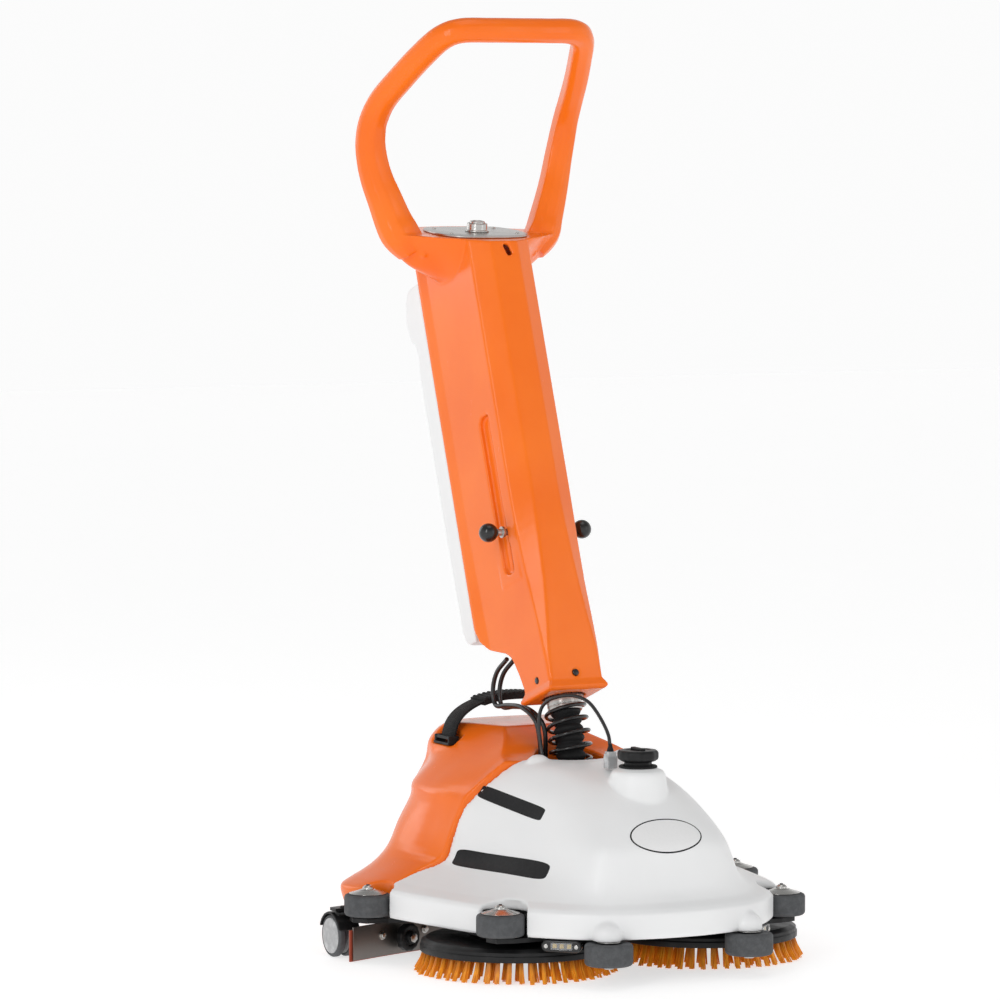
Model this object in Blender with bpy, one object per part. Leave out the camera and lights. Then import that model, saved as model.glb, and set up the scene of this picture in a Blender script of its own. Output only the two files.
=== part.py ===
"""Walk-behind twin-disc floor scrubber with a tilting column, modelled as separate pieces.

Lengths below are in millimetres. Places are written as (x, f, z): x across the machine, with its
right side negative, f forward from the line through the two brush centres, and z up from the floor.
place() turns them into Blender's metres, where the machine faces -Y.
"""

import math

import bmesh
import bpy
from mathutils import Matrix, Vector

# ---------------------------------------------------------------- driving dimensions
GAP = 0.3
CENTRE_F = -141.29  # f of the middle of the bounding box, so that the origin lies under it

BRUSH_X = 134.0
DISC_R = 120.0
TUFT_TIP_R = 132.0
TUFT_TOP = 25.7
DISC_TOP = 42.0

ROLLER_R = 30.0
ROLLER_H = 27.5
ROLLER_BORE = 5.0
REAR_ROLLER = (267.0, -148.0, 58.0)
SIDE_ROLLER = (200.0, 85.0, 58.0)
FRONT_ROLLER = (99.0, 178.0, 27.0)

WHEEL_X = 281.0
WHEEL_F = -201.0
WHEEL_R = 27.0
STEM_F = -189.0

PLATE_BOTTOM = 50.0
PLATE_TOP = 56.0
SKIRT_BOTTOM = 57.0
TANK_WALL = 4.0

JOINT_F = -103.0
JOINT_Z = 262.0
TILT = math.radians(20.0)
COLUMN_FOOT = (0.0, -124.0, 332.0)  # middle of the column's lower end, s = 0 and t = 0

COLUMN_HALF_W = 44.5
COLUMN_BACK_T = -128.0
TOP_MIDDLE = (-366.0, 910.6)  # f and z of the button's place on the head's sloping top
TOP_SLOPE = math.radians(5.7)
COLUMN_WALL = 3.5
HOUSING_BACK_T = -171.0
HOUSING_S = (102.0, 592.0)
SLOT_S = (160.0, 372.0)
SLOT_T = -13.0
SLOT_W = 26.0
ROD_S = 214.0
ROD_T = -5.0
KNOB_X = 68.0

STRAP_F = -268.0
STRAP_W = 36.0
SEAT_Z = 254.0  # flat seats cut in the recovery tank for the strap's two buckles

ORANGE = (0.90, 0.155, 0.016)
WHITE = (0.78, 0.79, 0.80)
BLACK = (0.012, 0.012, 0.013)
GREY_RUBBER = (0.085, 0.088, 0.09)
STEEL = (0.55, 0.53, 0.50)
LIGHT_GREY = (0.50, 0.51, 0.52)
BRISTLE = (0.83, 0.26, 0.02)
BLADE_RED = (0.36, 0.055, 0.025)
COPPER_GREEN = (0.05, 0.20, 0.10)

COLUMN_AXIS = Vector((0.0, math.sin(TILT), math.cos(TILT)))
TOP_NORMAL = Vector((0.0, -math.sin(TOP_SLOPE), math.cos(TOP_SLOPE)))
MATERIALS = {}


def material(name, colour, roughness, metallic=0.0):
    """One Principled material per name, made the first time that it is asked for."""
    if name not in MATERIALS:
        made = bpy.data.materials.new(name)
        made.use_nodes = True
        shader = made.node_tree.nodes["Principled BSDF"]
        shader.inputs["Base Color"].default_value = (*colour, 1.0)
        shader.inputs["Roughness"].default_value = roughness
        shader.inputs["Metallic"].default_value = metallic
        made.diffuse_color = (*colour, 1.0)
        MATERIALS[name] = made
    return MATERIALS[name]


def orange_plastic():
    return material("orange_plastic", ORANGE, 0.25)


def white_plastic():
    return material("white_plastic", WHITE, 0.35)


def black_plastic():
    return material("black_plastic", BLACK, 0.45)


def black_rubber():
    return material("black_rubber", BLACK, 0.7)


def grey_rubber():
    return material("grey_rubber", GREY_RUBBER, 0.75)


def steel():
    return material("steel", STEEL, 0.3, 1.0)


def dark_steel():
    return material("black_steel", BLACK, 0.3, 0.6)


def light_plastic():
    return material("light_grey_plastic", LIGHT_GREY, 0.4)


# ---------------------------------------------------------------- places and meshes
def place(x, f, z):
    return Vector((x, CENTRE_F - f, z)) / 1000.0


def on_column(x, t, s):
    """A place in the column's own directions: s up its axis and t forward across it."""
    f = COLUMN_FOOT[1] - s * math.sin(TILT) + t * math.cos(TILT)
    z = COLUMN_FOOT[2] + s * math.cos(TILT) + t * math.sin(TILT)
    return place(x, f, z)


def on_top(x, forward, height):
    """A place over the head's sloping top, from the button's middle."""
    f = TOP_MIDDLE[0] + forward * math.cos(TOP_SLOPE) + height * math.sin(TOP_SLOPE)
    z = TOP_MIDDLE[1] - forward * math.sin(TOP_SLOPE) + height * math.cos(TOP_SLOPE)
    return place(x, f, z)


def add_object(name, bm, look, origin=None, smooth=35.0):
    """Closes off a bmesh as a named object, with its origin at a joint's axis where one is given."""
    bmesh.ops.recalc_face_normals(bm, faces=bm.faces)
    origin = origin or Vector((0.0, 0.0, 0.0))
    bmesh.ops.translate(bm, vec=-origin, verts=bm.verts)
    mesh = bpy.data.meshes.new(name)
    bm.to_mesh(mesh)
    bm.free()
    mesh.materials.append(look)
    mesh.shade_smooth()
    mesh.set_sharp_from_angle(angle=math.radians(smooth))
    made = bpy.data.objects.new(name, mesh)
    made.location = origin
    bpy.context.scene.collection.objects.link(made)
    return made


def stacked(rings):
    """A closed body through rings of equal length, each a loop of points, capped at both ends."""
    bm = bmesh.new()
    rows = [[bm.verts.new(point) for point in ring] for ring in rings]
    for lower, upper in zip(rows, rows[1:]):
        for i in range(len(lower)):
            j = (i + 1) % len(lower)
            bm.faces.new((lower[i], lower[j], upper[j], upper[i]))
    bm.faces.new(list(reversed(rows[0])))
    bm.faces.new(rows[-1])
    return bm


def turned(profile, centre, axis=(0.0, 0.0, 1.0), steps=32):
    """A body of revolution. The profile lists (radius, height); a closed one leaves a bore."""
    bm = bmesh.new()
    turn = Vector((0.0, 0.0, 1.0)).rotation_difference(Vector(axis)).to_matrix().to_4x4()
    onto = Matrix.Translation(centre) @ turn
    open_ends = profile[0][0] == 0.0 and profile[-1][0] == 0.0
    rows = []
    for radius, height in profile:
        count = 1 if radius == 0.0 else steps
        row = []
        for i in range(count):
            angle = 2.0 * math.pi * i / steps
            spot = Vector((radius * math.cos(angle), radius * math.sin(angle), height)) / 1000.0
            row.append(bm.verts.new(onto @ spot))
        rows.append(row)
    pairs = list(zip(rows, rows[1:]))
    if not open_ends:
        pairs.append((rows[-1], rows[0]))
    for one, two in pairs:
        for i in range(steps):
            j = (i + 1) % steps
            corners = [one[i % len(one)], one[j % len(one)], two[j % len(two)], two[i % len(two)]]
            corners = list(dict.fromkeys(corners))
            if len(corners) > 2:
                bm.faces.new(corners)
    return bm


def disc_profile(radius, low, high, edge=0.0):
    """The profile of a solid disc between two heights, with an optional bevel at its rim."""
    if edge == 0.0:
        return [(0.0, low), (radius, low), (radius, high), (0.0, high)]
    return [
        (0.0, low),
        (radius - edge, low),
        (radius, low + edge),
        (radius, high - edge),
        (radius - edge, high),
        (0.0, high),
    ]


def block(low, high):
    """An upright box between two (x, f, z) corners."""
    outline = [(low[0], low[1]), (high[0], low[1]), (high[0], high[1]), (low[0], high[1])]
    return stacked([[place(x, f, z) for x, f in outline] for z in (low[2], high[2])])


def slab(outline, low, high):
    """A plan outline of (x, f) points, extruded between two heights."""
    return stacked([[place(x, f, z) for x, f in outline] for z in (low, high)])


def cross_slab(outline, x_low, x_high, spot):
    """An outline in the (f, z) or (t, s) plane, extruded across the machine."""
    return stacked([[spot(x, a, b) for a, b in outline] for x in (x_low, x_high)])


def rounded(points, per):
    """A smooth closed loop through the points, with `per` steps between neighbours."""
    count = len(points)
    loop = []
    for i in range(count):
        p0, p1, p2, p3 = (Vector(points[(i + k) % count]) for k in (-1, 0, 1, 2))
        for step in range(per):
            u = step / per
            loop.append(catmull(p0, p1, p2, p3, u))
    return loop


def smooth_line(points, per):
    """A smooth open line through the points, ends included."""
    ends = [Vector(points[0]) * 2 - Vector(points[1])]
    ends += [Vector(point) for point in points]
    ends.append(Vector(points[-1]) * 2 - Vector(points[-2]))
    line = []
    for p0, p1, p2, p3 in zip(ends, ends[1:], ends[2:], ends[3:]):
        line += [catmull(p0, p1, p2, p3, step / per) for step in range(per)]
    line.append(ends[-2])
    return line


def catmull(p0, p1, p2, p3, u):
    return 0.5 * (
        2 * p1 + (p2 - p0) * u + (2 * p0 - 5 * p1 + 4 * p2 - p3) * u**2 + (3 * p1 - p0 - 3 * p2 + p3) * u**3
    )


def swept(path, section, up=Vector((0.0, 0.0, 1.0))):
    """A body swept along a line of points, by a section in mm or by a function of the point's number."""
    side = None
    rings = []
    for i, spot in enumerate(path):
        ahead = (path[min(i + 1, len(path) - 1)] - path[max(i - 1, 0)]).normalized()
        if side is None:
            side = ahead.cross(up).normalized()
        side = (side - ahead * side.dot(ahead)).normalized()
        over = side.cross(ahead)
        shape = section(i) if callable(section) else section
        rings.append([spot + (side * a + over * b) / 1000.0 for a, b in shape])
    return stacked(rings)


def ring_section(radius, steps, squash=1.0):
    angles = [2.0 * math.pi * i / steps for i in range(steps)]
    return [(radius * math.cos(a), radius * squash * math.sin(a)) for a in angles]


def helper(name, bm):
    """A cutter or a piece to be joined on, which isn't itself a node."""
    made = add_object(name, bm, black_plastic())
    made.hide_render = True
    made.display_type = "WIRE"
    return made


def boolean(target, tool, operation):
    cut = target.modifiers.new(f"{operation.lower()}_{tool.name}", "BOOLEAN")
    cut.operation = operation
    cut.solver = "EXACT"
    cut.object = tool


def cut_away(target, *shapes):
    for i, bm in enumerate(shapes):
        boolean(target, helper(f"{target.name}_cut_{len(target.modifiers)}_{i}", bm), "DIFFERENCE")


def join_on(target, *shapes):
    for i, bm in enumerate(shapes):
        boolean(target, helper(f"{target.name}_join_{len(target.modifiers)}_{i}", bm), "UNION")


def sides():
    return ((-1, "right"), (1, "left"))


def mirrored(half):
    """A whole plan outline from its x >= 0 half, listed from the front middle to the rear middle."""
    inner = [point for point in reversed(half) if point[0] > 0.0]
    return list(half) + [(-x, f) for x, f in inner]


# ---------------------------------------------------------------- brushes
def build_brush(sign, side):
    centre = place(sign * BRUSH_X, 0.0, 0.0)
    disc = [
        (11.0, 26.0),
        (DISC_R, 26.0),
        (DISC_R, 38.0),
        (DISC_R - 8.0, DISC_TOP),
        (34.0, DISC_TOP),
        (28.0, 48.0),
        (11.0, 48.0),
    ]
    add_object(f"brush_disc_{side}", turned(disc, centre, steps=36), black_plastic(), centre)
    tufts = [
        (58.0, TUFT_TOP),
        (66.0, 0.0),
        (TUFT_TIP_R, 0.0),
        (DISC_R - 1.0, TUFT_TOP),
    ]
    look = material("orange_bristle", BRISTLE, 0.55)
    add_object(f"brush_bristles_{side}", turned(tufts, centre, steps=36), look, centre)


def build_motor(sign, side):
    centre = place(sign * BRUSH_X, 0.0, 0.0)
    profile = [
        (0.0, 44.0),
        (10.0, 44.0),
        (10.0, PLATE_TOP + GAP),
        (33.0, PLATE_TOP + GAP),
        (33.0, 66.0),
        (29.0, 68.0),
        (29.0, 90.0),
        (25.0, 93.0),
        (0.0, 93.0),
    ]
    add_object(f"brush_motor_{side}", turned(profile, centre, steps=12), dark_steel(), centre)


# ---------------------------------------------------------------- rollers
def roller_profile():
    return [
        (ROLLER_BORE + GAP, 0.5),
        (ROLLER_R - 2.5, 0.0),
        (ROLLER_R, 3.5),
        (ROLLER_R, ROLLER_H - 3.5),
        (ROLLER_R - 2.5, ROLLER_H),
        (ROLLER_BORE + GAP, ROLLER_H - 0.5),
    ]


def build_roller(name, spot):
    centre = place(*spot)
    add_object(f"{name}_roller", turned(roller_profile(), centre, steps=20), grey_rubber(), centre)


def build_upper_mount(name, spot):
    """A pin on the chassis plate, with the conical cap and domed bolt that hold the roller down."""
    x, f, low = spot
    high = low + ROLLER_H
    profile = [
        (0.0, PLATE_TOP + GAP),
        (12.0, PLATE_TOP + GAP),
        (12.0, low - GAP),
        (ROLLER_BORE, low - GAP),
        (ROLLER_BORE, high + GAP),
        (24.0, high + GAP),
        (9.0, high + 5.5),
        (7.0, high + 5.5),
        (6.5, high + 8.5),
        (0.0, high + 11.5),
    ]
    centre = place(x, f, 0.0)
    add_object(f"{name}_roller_mount", turned(profile, centre, steps=14), steel(), centre)


def build_lower_mount(name, spot):
    """The front rollers hang on an axle under the skirt."""
    x, f, low = spot
    centre = place(x, f, 0.0)
    high = low + ROLLER_H
    profile = [
        (0.0, low - 4.5),
        (6.5, low - 4.5),
        (9.0, low - 2.5),
        (9.0, low - GAP),
        (ROLLER_BORE, low - GAP),
        (ROLLER_BORE, high + GAP),
        (15.0, high + GAP),
        (15.0, SKIRT_BOTTOM - GAP),
        (0.0, SKIRT_BOTTOM - GAP),
    ]
    add_object(f"{name}_roller_mount", turned(profile, centre, steps=12), steel(), centre)


def build_rollers():
    for sign, side in sides():
        rear = (sign * REAR_ROLLER[0], REAR_ROLLER[1], REAR_ROLLER[2])
        build_roller(f"rear_{side}", rear)
        build_upper_mount(f"rear_{side}", rear)
        flank = (sign * SIDE_ROLLER[0], SIDE_ROLLER[1], SIDE_ROLLER[2])
        build_roller(f"side_{side}", flank)
        build_upper_mount(f"side_{side}", flank)
        front = (sign * FRONT_ROLLER[0], FRONT_ROLLER[1], FRONT_ROLLER[2])
        build_roller(f"front_{side}", front)
        build_lower_mount(f"front_{side}", front)


# ---------------------------------------------------------------- rear wheels
def build_rear_wheel(sign, side):
    """A twin rear wheel: two rims on one hub, either side of a web that hangs from its hood."""
    axle = place(sign * WHEEL_X, WHEEL_F, WHEEL_R)
    across = (1.0, 0.0, 0.0)
    half = 14.0
    hub = 8.0
    web = 2.6
    one = [(0.0, -half), (21.0, -half), (WHEEL_R, -half + 3.0), (WHEEL_R, -web - 0.8), (hub, -web - 0.8)]
    other = [(radius, -height) for radius, height in reversed(one)]
    add_object(f"rear_wheel_{side}", turned(one + other, axle, across, 20), light_plastic(), axle)

    swivel = place(sign * WHEEL_X, STEM_F, 0.0)
    arc = [math.radians(a) for a in range(20, 161, 20)]
    outer = [(WHEEL_F + 31.0 * math.cos(a), WHEEL_R + 31.0 * math.sin(a)) for a in arc]
    inner = [(WHEEL_F + 28.0 * math.cos(a), WHEEL_R + 28.0 * math.sin(a)) for a in reversed(arc)]
    low, high = sorted((sign * WHEEL_X - half - 1.0, sign * WHEEL_X + half + 1.0))
    fork = add_object(f"rear_wheel_fork_{side}", cross_slab(outer + inner, low, high, place), light_plastic(), swivel)
    hanger = [(WHEEL_F - 12.0, 18.0), (WHEEL_F + 12.0, 18.0), (WHEEL_F + 15.0, 54.0), (WHEEL_F - 12.0, 56.0)]
    join_on(
        fork,
        cross_slab(hanger, sign * WHEEL_X - web, sign * WHEEL_X + web, place),
        turned(disc_profile(10.5, 55.2, 59.0), swivel, steps=16),
        turned(disc_profile(5.0, 57.0, 66.0), swivel, steps=12),
    )
    cut_away(fork, turned(disc_profile(hub + 0.4, -10.0, 10.0), axle, across, 20))


# ---------------------------------------------------------------- chassis and underside
def build_chassis():
    """The plate that everything stands on, with ears for the rollers and raised lugs for the rear wheels."""
    half = [(0.0, 150.0), (70.0, 148.0), (105.0, 128.0), (128.0, 118.0), (150.0, 104.0)]
    half += [(190.0, 104.0), (212.0, 98.0), (216.0, 78.0), (200.0, 62.0), (204.0, -20.0), (220.0, -112.0)]
    half += [(250.0, -124.0), (278.0, -128.0), (289.0, -146.0), (284.0, -166.0), (262.0, -176.0)]
    half += [(262.0, -206.0), (240.0, -214.0), (150.0, -240.0), (104.0, -256.0), (0.0, -258.0)]
    plate = add_object("chassis_plate", slab(mirrored(half), PLATE_BOTTOM + 0.5, PLATE_TOP), black_plastic())
    for sign, _ in sides():
        ear = [(248.0, -181.5), (296.0, -181.5), (296.0, -198.0), (248.0, -212.0)]
        join_on(
            plate,
            block((sign * 249.0, -208.0, 52.0), (sign * 261.0, -182.5, 63.0)),
            slab([(sign * x, f) for x, f in ear], 60.0, 64.0),
        )
        cut_away(
            plate,
            turned(disc_profile(20.0, 30.0, 59.0), place(sign * BRUSH_X, 0.0, 0.0), steps=20),
            turned(disc_profile(5.4, 50.0, 80.0), place(sign * WHEEL_X, STEM_F, 0.0), steps=12),
            turned(disc_profile(5.5, 40.0, 59.0), place(sign * GUIDE[0], GUIDE[1], 0.0), steps=12),
        )


def build_lamp(sign, side):
    """An oblong working lamp: a bezel with two screw heads round a clear window."""
    middle = (sign * 141.0, 135.5)
    along = Vector((sign * 0.72, -0.69))
    out = Vector((sign * 0.69, 0.72))

    def spot(a, o, z):
        return place(middle[0] + along.x * a + out.x * o, middle[1] + along.y * a + out.y * o, z)

    half = 25.5
    height = 7.2
    outline = []
    for end in (1, -1):
        for step in range(7):
            angle = math.radians(-90.0 + 30.0 * step)
            outline.append((end * (half - height + height * math.cos(angle)), end * height * math.sin(angle)))
    ring_back = [spot(a, -4.0, 48.0 + b) for a, b in outline]
    ring_front = [spot(a, 4.0, 48.0 + b) for a, b in outline]
    ring_edge = [spot(a * 0.97, 5.0, 48.0 + b * 0.9) for a, b in outline]
    lamp = add_object(f"work_lamp_{side}", stacked([ring_back, ring_front, ring_edge]), steel())
    window = [(-14.0, -4.6), (14.0, -4.6), (14.0, 4.6), (-14.0, 4.6)]
    cut_away(lamp, stacked([[spot(a, o, 48.0 + b) for a, b in window] for o in (2.6, 8.0)]))


def build_inner_units():
    vacuum = [
        (0.0, PLATE_TOP + GAP),
        (46.0, PLATE_TOP + GAP),
        (48.0, 60.0),
        (48.0, 84.0),
        (40.0, 88.0),
        (40.0, 112.0),
        (34.0, 118.0),
        (0.0, 118.0),
    ]
    centre = place(0.0, -2.0, 0.0)
    add_object("vacuum_motor", turned(vacuum, centre, steps=16), dark_steel(), centre)
    pump = add_object("water_pump", block((-26.0, 76.0, PLATE_TOP + GAP), (14.0, 112.0, 92.0)), black_plastic())
    join_on(
        pump,
        turned(disc_profile(9.0, 0.0, 26.0), place(12.0, 94.0, 76.0), axis=(1.0, 0.0, 0.0), steps=16),
    )
    board = block((-34.0, 124.0, PLATE_TOP + GAP), (34.0, 126.0, 96.0))
    add_object("control_board", board, material("circuit_board", COPPER_GREEN, 0.5))


# ---------------------------------------------------------------- squeegee
GUIDE = (60.0, -240.0)  # x and f of the pins that the squeegee rises on


def squeegee_line(reach=0.0):
    half = [(0.0, -226.0), (70.0, -222.0), (150.0, -202.0), (220.0, -178.0), (288.0, -150.0)]
    whole = [Vector((-x, f)) for x, f in reversed(half[1:])] + [Vector(p) for p in half]
    line = smooth_line(whole, 2)
    if reach:
        line.insert(0, line[0] + (line[0] - line[1]).normalized() * reach)
        line.append(line[-1] + (line[-1] - line[-2]).normalized() * reach)
    return line


def strip(front, back, low, high, reach=0.0):
    """An upright strip that follows the squeegee's curve, between two offsets from it."""
    line = squeegee_line(reach)
    outline = [(p.x, p.y + front) for p in line] + [(p.x, p.y + back) for p in reversed(line)]
    return slab(outline, low, high)


def build_squeegee():
    add_object("squeegee_bar", strip(3.0, 0.0, 5.0, 44.0), steel())
    blade = strip(-0.4, -4.0, 0.0, 40.0, reach=4.0)
    add_object("squeegee_blade", blade, material("red_rubber", BLADE_RED, 0.6))
    beam = block((-98.0, -248.0, 34.0), (98.0, -231.5, 43.5))
    bracket = add_object("squeegee_bracket", beam, black_plastic())
    for sign in (-1, 1):
        foot = [(sign * 66.0, -228.5), (sign * 112.0, -220.5), (sign * 112.0, -238.0), (sign * 66.0, -240.0)]
        pin = disc_profile(5.0, 38.0, 57.5)
        join_on(
            bracket,
            slab(foot, 28.0, 43.0),
            turned(pin, place(sign * GUIDE[0], GUIDE[1], 0.0), steps=12),
        )
    join_on(
        bracket,
        block((-22.0, -254.0, 8.0), (22.0, -232.0, 38.0)),
        turned(disc_profile(10.0, -4.0, 12.0), place(0.0, -250.0, 24.0), (0.0, 0.94, 0.342), 14),
    )
    for sign, side in sides():
        face = Vector((-sign * 0.34, -0.94, 0.0)).normalized()
        centre = place(sign * 204.0, -183.7 + 3.3, 23.0) + face * 0.0008
        profile = [(0.0, 0.0), (6.0, 0.0), (6.0, 5.0), (15.0, 5.0), (18.0, 8.0), (18.0, 15.0)]
        profile += [(8.0, 18.0), (7.0, 20.0), (0.0, 20.0)]
        add_object(f"squeegee_knob_{side}", turned(profile, centre, tuple(face), 16), black_plastic())


def build_hose():
    """The suction hose, from the squeegee's nozzle up to the underside of the recovery tank."""
    route = [(-262.3, 28.6), (-270.0, 32.0), (-276.0, 39.0), (-278.0, 48.0), (-278.0, 56.0), (-278.0, 64.4)]
    points = smooth_line([place(0.0, f, z) for f, z in route], 2)
    tube_curve("suction_hose", points, 9.0, black_rubber(), 2)


def tube_curve(name, points, radius, look, resolution=3):
    curve = bpy.data.curves.new(name, "CURVE")
    curve.dimensions = "3D"
    curve.bevel_depth = radius / 1000.0
    curve.bevel_resolution = resolution
    curve.use_fill_caps = True
    spline = curve.splines.new("POLY")
    spline.points.add(len(points) - 1)
    for slot, spot in zip(spline.points, points):
        slot.co = (*spot, 1.0)
    curve.materials.append(look)
    made = bpy.data.objects.new(name, curve)
    bpy.context.scene.collection.objects.link(made)
    return made


# ---------------------------------------------------------------- clean-water tank
SKIRT = [
    (0.0, 195.0),
    (52.0, 190.0),
    (100.0, 176.0),
    (140.0, 147.0),
    (178.0, 104.0),
    (203.0, 72.0),
    (222.0, 30.0),
    (240.0, -50.0),
    (255.0, -136.0),
    (252.0, -200.0),
]
# Half outlines of the body, from the front middle to the rear, at rising heights.
BODY = {
    99.0: (
        178.0, (50, 175), (96, 162), (130, 132), (160, 92), (182, 56),
        (197, 20), (214, -50), (226, -130), (222, -200),
    ),
    110.0: (
        170.0, (48, 168), (92, 156), (122, 126), (144, 88), (160, 50),
        (172, 14), (186, -50), (198, -130), (196, -200),
    ),
    125.0: (
        165.0, (46, 163), (88, 151), (113, 124), (127, 86), (138, 48),
        (147, 10), (158, -52), (172, -130), (174, -200),
    ),
    145.0: (
        160.0, (44, 158), (84, 147), (106, 122), (117, 84),
        (126, 44), (133, 8), (144, -54), (164, -130), (170, -200),
    ),
    166.0: (
        154.0, (42, 152), (78, 141), (99, 116), (110, 80), (118, 40),
        (125, 4), (138, -56), (158, -130), (164, -200),
    ),
    190.0: (
        136.0, (36, 134), (68, 121), (88, 97), (100, 64), (108, 28),
        (115, -8), (128, -60), (149, -130), (154, -200),
    ),
    213.0: (
        109.0, (32, 107), (58, 95), (76, 72), (88, 42), (97, 10),
        (105, -20), (116, -66), (133, -130), (138, -200),
    ),
    233.0: (
        74.0, (28, 72), (48, 61), (62, 42), (72, 16), (80, -10),
        (88, -36), (98, -76), (110, -130), (114, -200),
    ),
    246.0: (
        30.0, (20, 28), (36, 20), (48, 4), (58, -14), (66, -32),
        (72, -50), (80, -84), (88, -130), (90, -200),
    ),
    251.0: (
        -10.0, (12, -12), (24, -18), (34, -28), (42, -38),
        (50, -50), (56, -62), (64, -92), (72, -130), (74, -200),
    ),
}
SEAM = [(52.0, -97.0), (78.0, -99.0), (112.0, -104.0), (130.0, -110.0), (145.0, -118.0), (158.0, -122.0)]
SEAM += [(172.0, -125.0), (190.0, -136.0), (215.0, -142.0), (330.0, -140.0)]
POCKET_R = 47.0


def pocket_cutter(margin=0.0, to_front=False):
    """The well that the column joint stands in: round, and open to the front for the recovery tank."""
    radius = POCKET_R + margin
    turn = range(180, 361, 15) if to_front else range(0, 360, 15)
    spots = [(math.cos(math.radians(a)), math.sin(math.radians(a))) for a in turn]
    outline = [(radius * c, JOINT_F + radius * s) for c, s in spots]
    if to_front:
        outline += [(radius, 20.0), (-radius, 20.0)]
    return slab(outline, 18.0, 345.0)


def body_loop(half):
    """A plan loop from a half outline, whose first value may be just how far forward the middle reaches."""
    front = half[0] if isinstance(half[0], tuple) else (0.0, half[0])
    loop = rounded([Vector(p) for p in mirrored([front, *half[1:]])], 2)
    return [(p.x, p.y) for p in loop]


def shrunk(loop, by):
    """The plan loop moved in by a wall thickness."""
    inner = []
    count = len(loop)
    for i, (x, f) in enumerate(loop):
        x0, f0 = loop[i - 1]
        x1, f1 = loop[(i + 1) % count]
        run = Vector((x1 - x0, f1 - f0))
        inward = Vector((run.y, -run.x)).normalized()
        inner.append((x + inward.x * by, f + inward.y * by))
    return inner


def body_shell(wall=0.0, low=None, high=None):
    """The body between two heights, moved in by a wall thickness."""
    levels = [(SKIRT_BOTTOM, SKIRT, 2.0), (60.0, SKIRT, 0.0), (88.0, SKIRT, 0.0), (93.0, SKIRT, 5.0)]
    levels += [(z, half, 0.0) for z, half in BODY.items()]
    rings = []
    for z, half, inset in levels:
        if low is not None and z < low - 0.01:
            continue
        if high is not None and z > high + 0.01:
            continue
        loop = shrunk(body_loop(half), inset + wall)
        rings.append([place(x, f, z) for x, f in loop])
    return rings


def seam_cutter(behind, shift=0.0):
    """Everything behind the seam between the two tanks, or everything in front of it."""
    line = [(-x, f - shift) for x, f in reversed(SEAM)] + [(x, f - shift) for x, f in SEAM]
    end = -520.0 if behind else 320.0
    outline = line + [(330.0, end), (-330.0, end)]
    return slab(outline, 20.0, 340.0)


def dome(x, f, radius, z, base):
    profile = [(0.0, base), (radius, base), (radius, z)]
    profile += [(radius * math.cos(math.radians(a)), z + radius * math.sin(math.radians(a))) for a in (30, 60)]
    profile += [(0.0, z + radius)]
    return turned(profile, place(x, f, 0.0), steps=12)


FILLER = (0.0, 72.0)


def build_clean_tank():
    tank = add_object("clean_water_tank", stacked(body_shell()), white_plastic())
    pod = [(0.0, 150.0), (40.0, 150.0), (38.0, 200.0), (36.0, 246.0), (33.0, 252.0), (0.0, 252.0)]
    join_on(tank, turned(pod, place(*FILLER, 0.0), steps=20))
    for sign, _ in sides():
        join_on(tank, dome(sign * FRONT_ROLLER[0], 174.0, 18.5, 62.0, SKIRT_BOTTOM))
        join_on(tank, dome(sign * 60.0, -80.0, 18.0, 240.0, 226.0))
    bay = [[place(x, f, z) for x, f in shrunk(body_loop(SKIRT), 6.0)] for z in (40.0, 86.0)]
    upper = [[place(x, f, z) for x, f in shrunk(body_loop(BODY[110.0]), 8.0)] for z in (84.0, 96.0)]
    upper += [[place(x, f, 122.0) for x, f in shrunk(body_loop(BODY[125.0]), 8.0)]]
    cut_away(tank, stacked(bay), stacked(upper))
    cavity = body_shell(TANK_WALL + 3.0, low=145.0)
    cavity[0] = [point - Vector((0.0, 0.0, 0.016)) for point in cavity[0]]
    cavity = cavity[:-1:2]
    hollow = stacked(cavity)
    keep = helper("clean_tank_hollow", hollow)
    cut_away(keep, seam_cutter(True, shift=-8.0), pocket_cutter(6.0))
    boolean(tank, keep, "DIFFERENCE")
    cut_away(
        tank,
        turned(disc_profile(18.0, 200.0, 260.0), place(*FILLER, 0.0), steps=20),
        seam_cutter(True),
        pocket_cutter(),
    )
    for sign, _ in sides():
        for spot in (REAR_ROLLER, SIDE_ROLLER):
            notch = disc_profile(ROLLER_R + 3.5, 40.0, 99.0)
            cut_away(tank, turned(notch, place(sign * spot[0], spot[1], 0.0), steps=24))
    return tank


def build_filler_cap():
    centre = place(*FILLER, 0.0)
    profile = [
        (0.0, 236.0),
        (15.5, 236.0),
        (17.0, 238.0),
        (17.0, 262.0),
        (24.0, 264.0),
        (25.0, 266.0),
        (25.0, 273.0),
        (23.0, 276.0),
        (0.0, 276.5),
    ]
    add_object("filler_cap", turned(profile, centre, steps=20), black_rubber(), centre)


def build_connector():
    """The level sensor's plug, which stands on the clean-water tank beside the filler."""
    low = [(-22.0, 22.0), (-8.0, 22.0), (-8.0, 34.0), (-22.0, 34.0)]
    high = [(-21.0, 23.0), (-9.0, 23.0), (-9.0, 33.0), (-21.0, 33.0)]
    rings = [[place(x, f, 249.0) for x, f in low], [place(x, f, 266.0) for x, f in low]]
    rings.append([place(x, f, 274.0) for x, f in high])
    add_object("sensor_connector", stacked(rings), white_plastic())


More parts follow.
